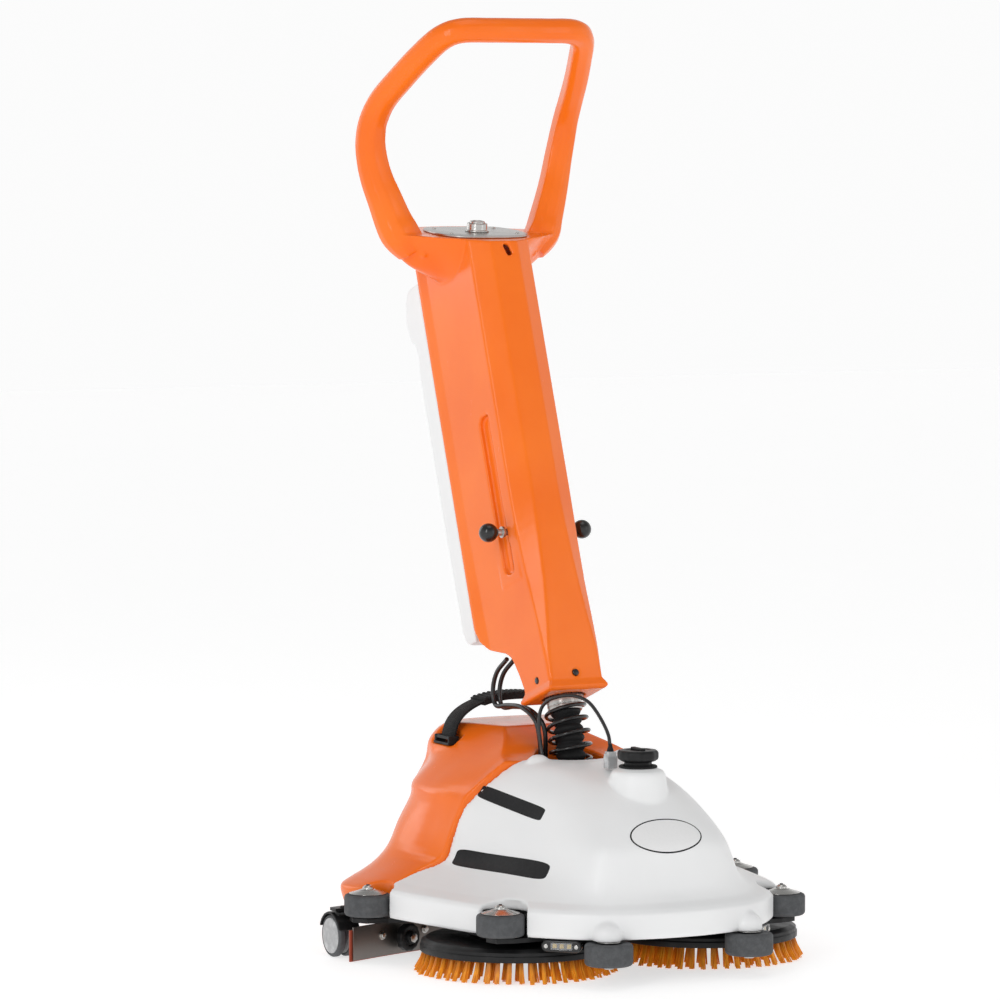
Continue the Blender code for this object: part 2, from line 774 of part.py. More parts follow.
# ---------------------------------------------------------------- recovery tank
RECOVERY = {
    65.0: ((208, -60), (234, -120), (256, -165), (264, -205), (256, -239), (220, -261), (140, -282)),
    84.0: ((210, -60), (236, -120), (258, -165), (266, -205), (260, -242), (224, -265), (142, -286)),
    92.0: ((204, -60), (230, -120), (250, -165), (256, -205), (250, -244), (216, -268), (140, -290)),
    108.0: ((180, -60), (200, -120), (216, -165), (220, -205), (215, -246), (190, -274), (130, -298)),
    128.0: ((166, -60), (174, -120), (184, -165), (190, -205), (188, -250), (168, -282), (120, -306)),
    158.0: ((158, -60), (163, -120), (167, -165), (170, -205), (168, -254), (152, -290), (112, -316)),
    190.0: ((144, -60), (150, -120), (155, -165), (157, -205), (150, -258), (132, -294), (104, -322)),
    208.0: ((134, -60), (142, -120), (149, -165), (151, -205), (146, -260), (127, -296), (98, -325)),
    232.0: ((110, -60), (117, -120), (121, -165), (123, -205), (122, -258), (106, -298), (88, -328)),
    256.0: ((80, -60), (84, -120), (86, -165), (90, -205), (98, -250), (105, -290), (84, -324)),
    272.0: ((58, -60), (58, -120), (58, -165), (64, -205), (77, -250), (91, -284), (76, -318)),
    281.0: ((34, -60), (34, -120), (36, -165), (44, -205), (60, -250), (76, -280), (66, -306)),
}
RECOVERY_REAR = {65.0: -290.0, 84.0: -294.0, 92.0: -300.0, 108.0: -310.0, 128.0: -318.0, 158.0: -328.0}
RECOVERY_REAR.update({190.0: -334.0, 208.0: -337.0, 232.0: -338.0, 256.0: -335.0, 272.0: -328.0, 281.0: -316.0})


def recovery_rings(wall=0.0, low=0.0, high=400.0):
    rings = []
    for z, half in RECOVERY.items():
        if z < low or z > high:
            continue
        points = [(0.0, -60.0)] + [tuple(map(float, p)) for p in half] + [(0.0, RECOVERY_REAR[z])]
        loop = [(p.x, p.y) for p in rounded([Vector(p) for p in mirrored(points)], 2)]
        rings.append([place(x, f, z) for x, f in shrunk(loop, wall)])
    return rings


def top_slope(lift=0.0):
    """The wedge above the recovery tank's top, which falls towards the column joint."""
    line = [(-226.0, 286.0), (-190.0, 277.0), (-150.0, 263.0), (-118.0, 251.0), (-40.0, 238.0)]
    outline = [(f, z + lift) for f, z in line] + [(-40.0, 420.0), (-226.0, 420.0)]
    return cross_slab(outline, -200.0, 200.0, place)


def build_recovery_tank():
    tank = add_object("recovery_tank", stacked(recovery_rings()), orange_plastic())
    cut_away(tank, top_slope(), seam_cutter(False, shift=1.0))
    cut_away(tank, pocket_cutter(to_front=True))
    hollow = helper("recovery_tank_hollow", stacked(recovery_rings(5.0, low=84.0, high=258.0)))
    cut_away(
        hollow,
        top_slope(-6.0),
        seam_cutter(False, shift=7.0),
        pocket_cutter(6.0, to_front=True),
    )
    boolean(tank, hollow, "DIFFERENCE")
    cut_away(tank, turned(disc_profile(14.0, 50.0, 110.0), place(0.0, -278.0, 0.0), steps=20))
    for sign, _ in sides():
        notch = disc_profile(ROLLER_R + 3.5, 40.0, 99.0)
        low, high = sorted((sign * 81.0, sign * 150.0))
        cut_away(
            tank,
            turned(notch, place(sign * REAR_ROLLER[0], REAR_ROLLER[1], 0.0), steps=24),
            block((low, STRAP_F - 24.0, SEAT_Z), (high, STRAP_F + 24.0, 330.0)),
        )


def strap_line():
    half = [(0.0, 314.0), (26.0, 312.5), (52.0, 306.5), (73.0, 296.0), (86.0, 282.0), (92.5, 263.5)]
    whole = [(-x, z) for x, z in reversed(half[1:])] + half
    return smooth_line([place(x, STRAP_F, z) for x, z in whole], 2)


def build_strap():
    half = STRAP_W / 2.0
    section = [(-half, -2.0), (half, -2.0), (half, 2.0), (-half, 2.0)]
    strap = add_object("tank_strap", swept(strap_line(), section), material("webbing", BLACK, 0.85))
    pad = [p for p in strap_line() if abs(p.x) < 0.052]
    wide = half + 2.0
    padding = [(-wide, -3.5), (-half, -5.5), (half, -5.5), (wide, -3.5), (wide, 3.5), (half, 5.5), (-half, 5.5), (-wide, 3.5)]
    join_on(strap, swept(pad, padding))
    for sign, side in sides():
        low, high = sorted((sign * 86.0, sign * 103.0))
        buckle = block((low, STRAP_F - 21.0, SEAT_Z + GAP), (high, STRAP_F + 21.0, SEAT_Z + 6.0))
        yield side, buckle


# ---------------------------------------------------------------- column joint
def build_joint():
    base = [
        (0.0, PLATE_TOP + GAP),
        (38.0, PLATE_TOP + GAP),
        (38.0, 62.0),
        (24.0, 66.0),
        (24.0, 188.0),
        (30.0, 191.0),
        (30.0, 195.0),
        (10.0, 195.5),
        (10.0, JOINT_Z - 16.0),
        (0.0, JOINT_Z - 16.0),
    ]
    pivot = place(0.0, JOINT_F, JOINT_Z)
    centre = place(0.0, JOINT_F, 0.0)
    post = add_object("joint_post", turned(base, centre, steps=16), dark_steel(), pivot)
    for sign in (-1, 1):
        ear = [(-5.5, -19.0), (5.5, -19.0), (5.5, 1.0), (3.0, 5.0), (-3.0, 5.0), (-5.5, 1.0)]
        ear = [(JOINT_F + f, JOINT_Z + z) for f, z in ear]
        low, high = sorted((sign * 7.2, sign * 10.4))
        join_on(post, cross_slab(ear, low, high, place))
    bore = turned(disc_profile(3.3, -14.0, 14.0), pivot, axis=(1.0, 0.0, 0.0), steps=12)
    cut_away(post, bore)

    lean_axis = Vector((0.0, -math.cos(TILT), math.sin(TILT)))
    cross = add_object(
        "joint_cross",
        turned(disc_profile(3.0, -10.0, 10.0), pivot, axis=(1.0, 0.0, 0.0), steps=12),
        steel(),
        pivot,
    )
    join_on(
        cross,
        turned(disc_profile(3.0, -10.0, 10.0), pivot, axis=tuple(lean_axis), steps=12),
        turned([(0.0, -5.6), (4.0, -4.0), (5.6, 0.0), (4.0, 4.0), (0.0, 5.6)], pivot, steps=12),
    )

    axis = Vector((0.0, math.sin(TILT), math.cos(TILT)))
    fork_profile = [
        (0.0, 17.5),
        (10.0, 17.5),
        (10.0, 46.0),
        (21.5, 46.5),
        (22.0, 48.0),
        (22.0, 60.0),
        (21.0, 61.5),
        (26.0, 62.0),
        (26.0, 70.6),
        (0.0, 70.6),
    ]
    fork = add_object("joint_fork", turned(fork_profile, pivot, axis=tuple(axis), steps=20), steel(), pivot)
    across = Vector((1.0, 0.0, 0.0))
    for sign in (-1, 1):
        ear = []
        for a, h in ((-5.5, 19.0), (5.5, 19.0), (5.5, -1.0), (3.0, -5.0), (-3.0, -5.0), (-5.5, -1.0)):
            ear.append((a, h))
        faces = []
        for out in sorted((sign * 7.2, sign * 10.4)):
            faces.append([pivot + (across * a + axis * h + lean_axis * out) / 1000.0 for a, h in ear])
        join_on(fork, stacked(faces))
    cut_away(fork, turned(disc_profile(3.3, -14.0, 14.0), pivot, axis=tuple(lean_axis), steps=12))


def joint_line(low, high, steps):
    """The bent centre line of the spring and bellows: upright, then along the column."""
    points = []
    axis = Vector((0.0, math.sin(TILT), math.cos(TILT)))
    pivot = place(0.0, JOINT_F, JOINT_Z)
    for i in range(steps + 1):
        along = low + (high - low) * i / steps
        bend = min(1.0, max(0.0, (along + 30.0) / 60.0))
        ease = bend * bend * (3.0 - 2.0 * bend)
        lean = TILT * ease
        if along <= 0.0:
            spot = pivot + Vector((0.0, 0.0, along)) / 1000.0
            spot.y += 0.012 * ease * math.sin(TILT)
        else:
            spot = pivot + axis * along / 1000.0
            spot.y += 0.012 * (1.0 - ease) * math.sin(TILT)
        points.append((spot, lean))
    return points


def build_bellows():
    rings_outer = []
    rings_inner = []
    line = joint_line(-66.0, 45.6, 10)
    for i, (spot, lean) in enumerate(line):
        turn = Matrix.Rotation(-lean, 4, "X")
        radius = 18.6 if i % 2 == 0 else 17.2
        for rings, r in ((rings_outer, radius), (rings_inner, 15.4)):
            ring = []
            for k in range(12):
                angle = 2.0 * math.pi * k / 12
                offset = Vector((r * math.cos(angle), r * math.sin(angle), 0.0)) / 1000.0
                ring.append(spot + turn @ offset)
            rings.append(ring)
    bm = bmesh.new()
    loops = rings_outer + list(reversed(rings_inner))
    rows = [[bm.verts.new(point) for point in ring] for ring in loops]
    for lower, upper in zip(rows, rows[1:] + rows[:1]):
        for i in range(12):
            j = (i + 1) % 12
            bm.faces.new((lower[i], lower[j], upper[j], upper[i]))
    add_object("joint_bellows", bm, black_rubber())


def build_coil():
    turns = 7.3
    per_turn = 10
    count = int(turns * per_turn)
    line = joint_line(-63.5, 58.5, count)
    path = []
    for i, (spot, lean) in enumerate(line):
        angle = 2.0 * math.pi * i / per_turn
        offset = Vector((25.8 * math.cos(angle), 25.8 * math.sin(angle), 0.0)) / 1000.0
        path.append(spot + Matrix.Rotation(-lean, 4, "X") @ offset)
    coil = swept(path, ring_section(2.2, 5))
    add_object("joint_spring", coil, dark_steel())


# ---------------------------------------------------------------- column
# Half sections as s rises: half width, the front face's half width and t, the side edge's t, and the half width behind.
SECTIONS = (
    (0.0, 38.6, 35.5, 39.5, 36.0, 38.6),
    (24.0, 38.9, 35.5, 40.0, 36.2, 39.5),
    (52.0, 39.8, 33.5, 41.5, 36.4, 42.0),
    (95.0, 40.3, 28.0, 42.0, 33.0, 45.5),
    (142.0, 41.6, 24.0, 41.5, 28.0, 46.9),
    (202.0, 43.3, 20.5, 40.5, 25.0, 46.9),
    (255.0, 44.5, 19.0, 39.5, 24.0, 46.9),
    (650.0, 44.5, 19.0, 39.5, 24.0, 46.9),
)


def column_rings(inset, back, sections):
    """The column's cross sections, moved in by an inset. Its rear edges flare out to meet the housing."""
    rings = []
    for s, half, front_x, front_t, edge_t, rear in sections:
        outline = [
            (front_x - 0.4 * inset, front_t - inset),
            (half - inset, edge_t - 0.6 * inset),
            (half - inset, -104.0),
            (rear - inset, -122.0),
            (rear - inset, back),
        ]
        outline += [(-x, t) for x, t in reversed(outline)]
        rings.append([on_column(x, t, s) for x, t in outline])
    return rings


def above_top(lift, half_w):
    """Everything over the head's sloping top, which is raised by a lift."""
    return cross_slab([(-260.0, lift), (230.0, lift), (230.0, 200.0), (-260.0, 200.0)], -half_w, half_w, on_top)


def rounded_slot():
    half = SLOT_W / 2.0
    outline = []
    for middle, start in ((SLOT_S[1] - half, 0.0), (SLOT_S[0] + half, 180.0)):
        for step in range(7):
            angle = math.radians(start + 30.0 * step)
            outline.append((SLOT_T + half * math.cos(angle), middle + half * math.sin(angle)))
    return outline


def build_column():
    shell = add_object("column_shell", stacked(column_rings(0.0, COLUMN_BACK_T, SECTIONS)), orange_plastic())
    foot_cut = [(-240.0, -20.0), (-33.5, -20.0), (-33.5, 12.0), (-40.0, 32.0), (-47.0, 49.0), (-54.0, 60.0)]
    foot_cut += [(-66.0, 68.0), (-90.0, 77.0), (-108.0, 84.5), (-120.0, 97.0), (-126.0, 111.0), (-240.0, 117.0)]
    cut_away(shell, cross_slab(foot_cut, -80.0, 80.0, on_column))
    lip = []
    for s, half, front, back in ((-8.0, 39.0, 39.0, -39.0), (-5.0, 43.0, 43.0, -43.0), (4.0, 38.0, 38.5, -34.0)):
        ring = [(half, front), (half, back), (-half, back), (-half, front)]
        lip.append([on_column(x, t, s) for x, t in ring])
    join_on(shell, stacked(lip))

    lower = [(58.0, *SECTIONS[2][1:]), *SECTIONS[3:7], (HOUSING_S[1], *SECTIONS[7][1:])]
    upper = [(HOUSING_S[1] + 1.0, *SECTIONS[7][1:]), (700.0, *SECTIONS[7][1:])]
    rings = column_rings(COLUMN_WALL, -160.0, lower) + column_rings(COLUMN_WALL, -124.5, upper)
    hollow = helper("column_hollow", stacked(rings))
    bay_floor = [(-300.0, 40.0), (-58.0, 66.0), (-90.0, 82.0), (-106.0, 90.0), (-115.0, 99.0)]
    bay_floor += [(-122.0, 114.0), (-124.6, 124.0), (-300.0, 124.0)]
    cut_away(hollow, cross_slab(bay_floor, -80.0, 80.0, on_column), above_top(-5.0, 80.0))
    boolean(shell, hollow, "DIFFERENCE")

    collar_at = place(0.0, JOINT_F, JOINT_Z) + COLUMN_AXIS * 0.073
    collar_room = turned(disc_profile(27.0, -30.0, 18.0), collar_at, axis=tuple(COLUMN_AXIS), steps=28)
    foot_ring = [(33.5, 33.0), (33.5, -27.0), (-33.5, -27.0), (-33.5, 33.0)]
    foot_room = stacked([[on_column(x, t, s) for x, t in foot_ring] for s in (8.0, 64.0)])
    button_room = turned(disc_profile(11.6, -12.0, 8.0), on_top(0.0, 0.0, 0.0), axis=tuple(TOP_NORMAL), steps=24)
    cut_away(shell, collar_room, foot_room, above_top(0.0, 80.0), button_room)
    cut_away(shell, cross_slab(rounded_slot(), -60.0, 60.0, on_column))
    for x, t, s, axis in screw_places():
        cut_away(shell, turned(disc_profile(4.6, -12.0, 12.0), on_column(x, t, s), axis=axis, steps=16))


def screw_places():
    forward = (0.0, -math.cos(TILT), math.sin(TILT))
    return (
        (0.0, 39.8, 14.0, forward),
        (-38.8, 4.0, 14.0, (-1.0, 0.0, 0.0)),
        (38.8, 4.0, 14.0, (1.0, 0.0, 0.0)),
    )


def build_screws():
    names = ("front", "right", "left")
    for name, (x, t, s, axis) in zip(names, screw_places()):
        profile = [(0.0, -9.0), (3.9, -9.0), (4.2, -1.0), (3.6, 0.4), (2.0, 0.9), (0.0, 0.9)]
        add_object(f"foot_screw_{name}", turned(profile, on_column(x, t, s), axis=axis, steps=16), dark_steel())


def build_battery_pack():
    """The rear housing with its cells, which fill the back of the column."""
    rings = []
    half = COLUMN_HALF_W + 2.0
    low, high = HOUSING_S
    levels = (
        (low, 0.0, -150.0),
        (low + 8.0, 0.0, -164.0),
        (low + 24.0, 0.0, HOUSING_BACK_T + 1.0),
        (high - 118.0, 0.0, HOUSING_BACK_T - 2.0),
        (high - 96.0, 0.0, HOUSING_BACK_T + 2.0),
        (high - 78.0, 0.0, HOUSING_BACK_T + 0.0),
        (high - 62.0, 0.0, HOUSING_BACK_T - 12.0),
        (high - 40.0, 0.0, HOUSING_BACK_T - 16.0),
        (high - 12.0, 0.0, HOUSING_BACK_T - 8.0),
        (high, 0.0, HOUSING_BACK_T + 6.0),
    )
    front = COLUMN_BACK_T - GAP
    for s, inset, back in levels:
        outline = [
            (half - inset, front),
            (half - inset, back + 8.0),
            (half - inset - 8.0, back),
            (-half + inset + 8.0, back),
            (-half + inset, back + 8.0),
            (-half + inset, front),
        ]
        rings.append([on_column(x, t, s) for x, t in outline])
    origin = on_column(0.0, front, (low + high) / 2.0)
    pack = add_object("battery_pack", stacked(rings), white_plastic(), origin)
    cells = [(front - 4.0, 138.0), (front - 4.0, 560.0), (-62.0, 560.0), (-62.0, 138.0)]
    join_on(pack, cross_slab(cells, -37.0, 37.0, on_column))


def build_lift_bar():
    rod_middle = on_column(0.0, ROD_T, ROD_S)
    rod = add_object(
        "lift_rod",
        turned(disc_profile(4.5, -60.0, 60.0), rod_middle, axis=(1.0, 0.0, 0.0), steps=16),
        steel(),
        rod_middle,
    )
    cheek = [(-30.0, -16.0), (4.0, -16.0), (4.0, 16.0), (-30.0, 16.0)]
    join_on(rod, cross_slab([(t, ROD_S + s) for t, s in cheek], -22.0, 22.0, on_column))
    for sign, side in sides():
        profile = [(0.0, -12.0), (5.5, -11.2), (9.6, -8.0), (12.5, 0.0), (11.4, 5.2), (6.9, 10.4), (0.0, 12.5)]
        centre = on_column(sign * KNOB_X, ROD_T, ROD_S)
        ball = turned(profile, centre, axis=(sign * 1.0, 0.0, 0.0), steps=14)
        knob = add_object(f"lift_knob_{side}", ball, black_plastic(), rod_middle)
        low, high = sorted((sign * 20.0, sign * 60.6))
        bore = turned(disc_profile(4.9, low, high), rod_middle, axis=(1.0, 0.0, 0.0), steps=16)
        cut_away(knob, bore)


def build_control_plate():
    half = [(0.0, 54.0), (24.0, 53.0), (42.0, 48.0), (54.0, 38.0), (61.0, 24.0), (64.0, 6.0), (64.0, -14.0)]
    half += [(60.0, -36.0), (52.0, -50.0), (40.0, -55.0), (0.0, -56.0)]
    outline = mirrored(half)
    rings = [[on_top(x, forward, height) for x, forward in outline] for height in (GAP, 3.0)]
    plate = add_object("control_plate", stacked(rings), steel())
    centre = on_top(0.0, 0.0, 0.0)
    cut_away(plate, turned(disc_profile(10.6, -20.0, 20.0), centre, axis=tuple(TOP_NORMAL), steps=24))
    collar = [(10.6, 1.5), (15.5, 1.5), (15.5, 13.0), (14.5, 14.5), (10.6, 14.5)]
    join_on(plate, turned(collar, centre, axis=tuple(TOP_NORMAL), steps=20))
    button = [(0.0, -18.0), (10.0, -18.0), (10.0, 16.0), (9.2, 17.0), (0.0, 17.0)]
    add_object("power_button", turned(button, centre, axis=tuple(TOP_NORMAL), steps=16), steel(), centre)


# The handle's half line, from inside the head up one arm and over to the middle of the bar, with its radius.
HANDLE = (
    (88.0, -381.0, 890.0, 20.0),
    (99.0, -382.0, 903.0, 23.0),
    (106.6, -384.0, 914.0, 23.5),
    (112.8, -388.0, 929.0, 22.6),
    (122.0, -392.0, 955.0, 21.2),
    (130.8, -397.0, 981.0, 20.0),
    (137.0, -399.0, 1007.0, 19.2),
    (141.0, -396.0, 1033.0, 18.4),
    (141.5, -386.0, 1059.0, 17.4),
    (138.0, -365.0, 1085.0, 16.6),
    (129.0, -334.0, 1111.0, 16.4),
    (117.0, -300.0, 1139.0, 16.3),
    (103.0, -268.0, 1163.0, 16.0),
    (82.0, -252.0, 1173.0, 15.7),
    (40.0, -248.0, 1174.0, 15.6),
    (0.0, -248.0, 1174.0, 15.6),
)
# The head's flared cheeks: heights under the sloping top, each with a half outline (x, forward).
CHEEKS = {
    0.0: (
        (0, 34), (44, 34), (72, 32), (98, 14), (118, 2), (130, -14),
        (128, -32), (112, -44), (80, -50), (44, -52), (0, -52),
    ),
    -22.0: (
        (0, 32), (44, 32), (66, 24), (88, 8), (104, -4), (112, -15),
        (108, -30), (92, -40), (70, -44), (44, -46), (0, -46),
    ),
    -42.0: (
        (0, 28), (44, 28), (58, 16), (74, 4), (85, -6), (90, -15),
        (86, -27), (74, -34), (58, -38), (44, -40), (0, -40),
    ),
    -56.0: (
        (0, 18), (42, 18), (52, 8), (58, 0), (62, -7), (64, -14),
        (62, -21), (57, -27), (50, -31), (42, -34), (0, -34),
    ),
    -64.0: (
        (0, 4), (38, 4), (42, 1), (44, -3), (45, -8), (46, -13),
        (45, -17), (44, -21), (42, -24), (38, -26), (0, -26),
    ),
}


def build_handle():
    line = smooth_line([place(x, f, z) for x, f, z, _ in HANDLE], 2)
    sizes = [p.x for p in smooth_line([Vector((row[3], 0.0, 0.0)) for row in HANDLE], 2)]
    line = [Vector((-p.x, p.y, p.z)) for p in line] + list(reversed(line[:-1]))
    sizes += list(reversed(sizes[:-1]))
    handle = add_object("handle_loop", swept(line, lambda i: ring_section(sizes[i], 10, 0.95)), orange_plastic())
    bowl = [[on_top(x, forward, height) for x, forward in mirrored(half)] for height, half in CHEEKS.items()]
    join_on(handle, stacked(bowl))
    column_room = column_rings(-GAP, COLUMN_BACK_T - 80.0, ((500.0, *SECTIONS[6][1:]), (720.0, *SECTIONS[7][1:])))
    over_plate = cross_slab([(-90.0, 0.0), (90.0, 0.0), (90.0, 40.0), (-90.0, 40.0)], -76.0, 76.0, on_top)
    cut_away(handle, stacked(column_room), over_plate)


# ---------------------------------------------------------------- cables
def cable(name, route, radius, per=3):
    points = smooth_line([place(*p) for p in route], per)
    tube_curve(name, points, radius, black_rubber(), resolution=2)


def build_cables():
    power = [
        (-40.0, -204.0, 367.5),
        (-40.0, -232.0, 348.0),
        (-40.0, -243.0, 325.0),
        (-40.0, -235.0, 305.0),
        (-40.0, -202.0, 308.0),
        (-39.0, -168.0, 309.0),
        (-37.0, -139.0, 299.0),
        (-34.0, -129.0, 282.0),
        (-30.0, -129.0, 243.0),
        (-29.0, -128.0, 180.0),
        (-28.0, -126.0, 120.0),
        (-28.0, -124.0, 66.5),
    ]
    cable("power_cable", power, 3.0)
    beside = [(x + 8.0, f + (3.0 if z > 262.0 else -3.0), z - 2.0 if z > 100.0 else z) for x, f, z in power]
    beside[0] = (-31.5, -202.0, 365.5)
    cable("motor_cable", beside, 3.0)
    sensor = [
        (-42.0, -94.0, 230.0),
        (-42.0, -106.0, 262.0),
        (-41.0, -114.0, 287.0),
        (-40.0, -111.0, 311.0),
        (-36.5, -94.0, 325.0),
        (-28.0, -72.0, 332.0),
        (-18.0, -53.0, 332.0),
        (-11.0, -34.0, 325.0),
        (-10.0, -8.0, 309.0),
        (-13.0, 18.0, 291.0),
        (-15.0, 27.0, 275.8),
    ]
    cable("sensor_cable", sensor, 2.3)


def clear_scene():
    for item in list(bpy.data.objects):
        bpy.data.objects.remove(item, do_unlink=True)


def build():
    clear_scene()
    for sign, side in sides():
        build_brush(sign, side)
        build_motor(sign, side)
        build_rear_wheel(sign, side)
        build_lamp(sign, side)
    build_rollers()
    build_chassis()
    build_inner_units()
    build_squeegee()
    build_clean_tank()
    build_filler_cap()
    build_recovery_tank()
    for side, buckle in build_strap():
        add_object(f"strap_buckle_{side}", buckle, black_plastic())
    build_joint()
    build_bellows()
    build_coil()
    build_column()
    build_screws()
    build_battery_pack()
    build_lift_bar()
    build_control_plate()
    build_handle()
    build_hose()
    build_connector()
    build_cables()


build()
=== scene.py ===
"""The visual model of a walk-behind floor scrubber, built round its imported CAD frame.

Lengths are in millimetres and places are (x, f, z), as in the CAD: x across the machine, f forward
from the line through the two brush centres, and z up from the floor. place() gives Blender's metres.
"""

import math
import random

import bmesh
import bpy
from mathutils import Matrix, Vector
from mathutils.bvhtree import BVHTree


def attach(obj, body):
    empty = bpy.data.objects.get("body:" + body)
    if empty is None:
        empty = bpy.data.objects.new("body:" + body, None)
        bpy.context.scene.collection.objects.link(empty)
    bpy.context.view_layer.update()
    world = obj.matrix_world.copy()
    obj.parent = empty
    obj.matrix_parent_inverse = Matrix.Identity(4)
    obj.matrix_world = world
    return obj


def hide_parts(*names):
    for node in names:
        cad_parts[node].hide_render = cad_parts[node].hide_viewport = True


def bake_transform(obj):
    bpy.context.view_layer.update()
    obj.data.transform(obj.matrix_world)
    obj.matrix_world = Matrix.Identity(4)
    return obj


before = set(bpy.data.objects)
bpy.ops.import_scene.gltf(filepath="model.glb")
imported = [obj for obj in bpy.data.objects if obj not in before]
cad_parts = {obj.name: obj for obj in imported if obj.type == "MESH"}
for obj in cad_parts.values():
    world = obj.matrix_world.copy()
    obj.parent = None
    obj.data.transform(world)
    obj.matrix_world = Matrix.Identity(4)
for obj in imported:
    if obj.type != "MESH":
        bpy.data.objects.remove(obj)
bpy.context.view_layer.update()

CENTRE_F = -141.29
TILT = math.radians(20.0)
COLUMN_FOOT = (0.0, -124.0, 332.0)
JOINT_F = -103.0
JOINT_Z = 262.0
SIDES = ((-1, "right"), (1, "left"))
UP = Vector((0.0, 0.0, 1.0))
COLUMN_AXIS = Vector((0.0, math.sin(TILT), math.cos(TILT)))
COLUMN_FORWARD = Vector((0.0, -math.cos(TILT), math.sin(TILT)))


# ---------------------------------------------------------------- places, camera, light
def place(x, f, z):
    return Vector((x, CENTRE_F - f, z)) / 1000.0


def on_column(x, t, s):
    """A place in the column's own directions: s up its axis and t forward across it."""
    f = COLUMN_FOOT[1] - s * math.sin(TILT) + t * math.cos(TILT)
    z = COLUMN_FOOT[2] + s * math.cos(TILT) + t * math.sin(TILT)
    return place(x, f, z)


def build_camera():
    data = bpy.data.cameras.new("camera")
    data.lens = 195.8
    data.sensor_width = 36.0
    data.clip_end = 60.0
    camera = bpy.data.objects.new("camera", data)
    camera.location = (-3.263, -6.109, 1.05)
    aim = Vector((-0.1230, -0.0773, 0.5836))
    camera.rotation_euler = (aim - camera.location).to_track_quat("-Z", "Y").to_euler()
    bpy.context.scene.collection.objects.link(camera)
    bpy.context.scene.camera = camera


def area_light(name, spot, aim, size, power, colour=(1.0, 1.0, 1.0)):
    data = bpy.data.lights.new(name, "AREA")
    data.shape = "RECTANGLE"
    data.size, data.size_y = size
    data.energy = power
    data.color = colour
    lamp = bpy.data.objects.new(name, data)
    lamp.location = spot
    lamp.rotation_euler = (Vector(aim) - lamp.location).to_track_quat("-Z", "Y").to_euler()
    bpy.context.scene.collection.objects.link(lamp)


def build_studio():
    """A white surround that dims overhead, so that upright faces stay clear and top faces keep their form."""
    world = bpy.data.worlds.new("studio")
    world.use_nodes = True
    tree = world.node_tree
    shade = tree.nodes["Background"]
    spot = tree.nodes.new("ShaderNodeTexCoord")
    split = tree.nodes.new("ShaderNodeSeparateXYZ")
    fall = tree.nodes.new("ShaderNodeMapRange")
    fall.interpolation_type = "SMOOTHSTEP"
    tree.links.new(spot.outputs["Generated"], split.inputs[0])
    tree.links.new(split.outputs["Z"], fall.inputs["Value"])
    for key, value in (("From Min", 0.12), ("From Max", 0.75), ("To Min", 0.97), ("To Max", 0.36)):
        fall.inputs[key].default_value = value
    tree.links.new(fall.outputs["Result"], shade.inputs["Strength"])
    shade.inputs["Color"].default_value = (1.0, 1.0, 1.0, 1.0)
    bpy.context.scene.world = world
    bpy.context.scene.view_settings.view_transform = "Standard"
    area_light("key", (-3.0, -2.2, 2.2), (0.0, 0.0, 0.5), (0.9, 2.4), 29.0)
    area_light("fill", (2.2, -3.2, 1.6), (0.0, 0.0, 0.5), (0.6, 2.4), 5.0)
    area_light("top", (0.1, -0.4, 3.4), (0.0, 0.0, 0.3), (1.6, 1.6), 8.0)
    area_light("rim", (-1.4, 3.0, 1.8), (0.0, 0.0, 0.6), (0.8, 2.2), 8.0)
    bm = bmesh.new()
    bmesh.ops.create_grid(bm, x_segments=1, y_segments=1, size=14.0)
    floor = new_object("floor", bm)
    floor.location.z = -0.0002
    floor.data.materials.append(floor_material())


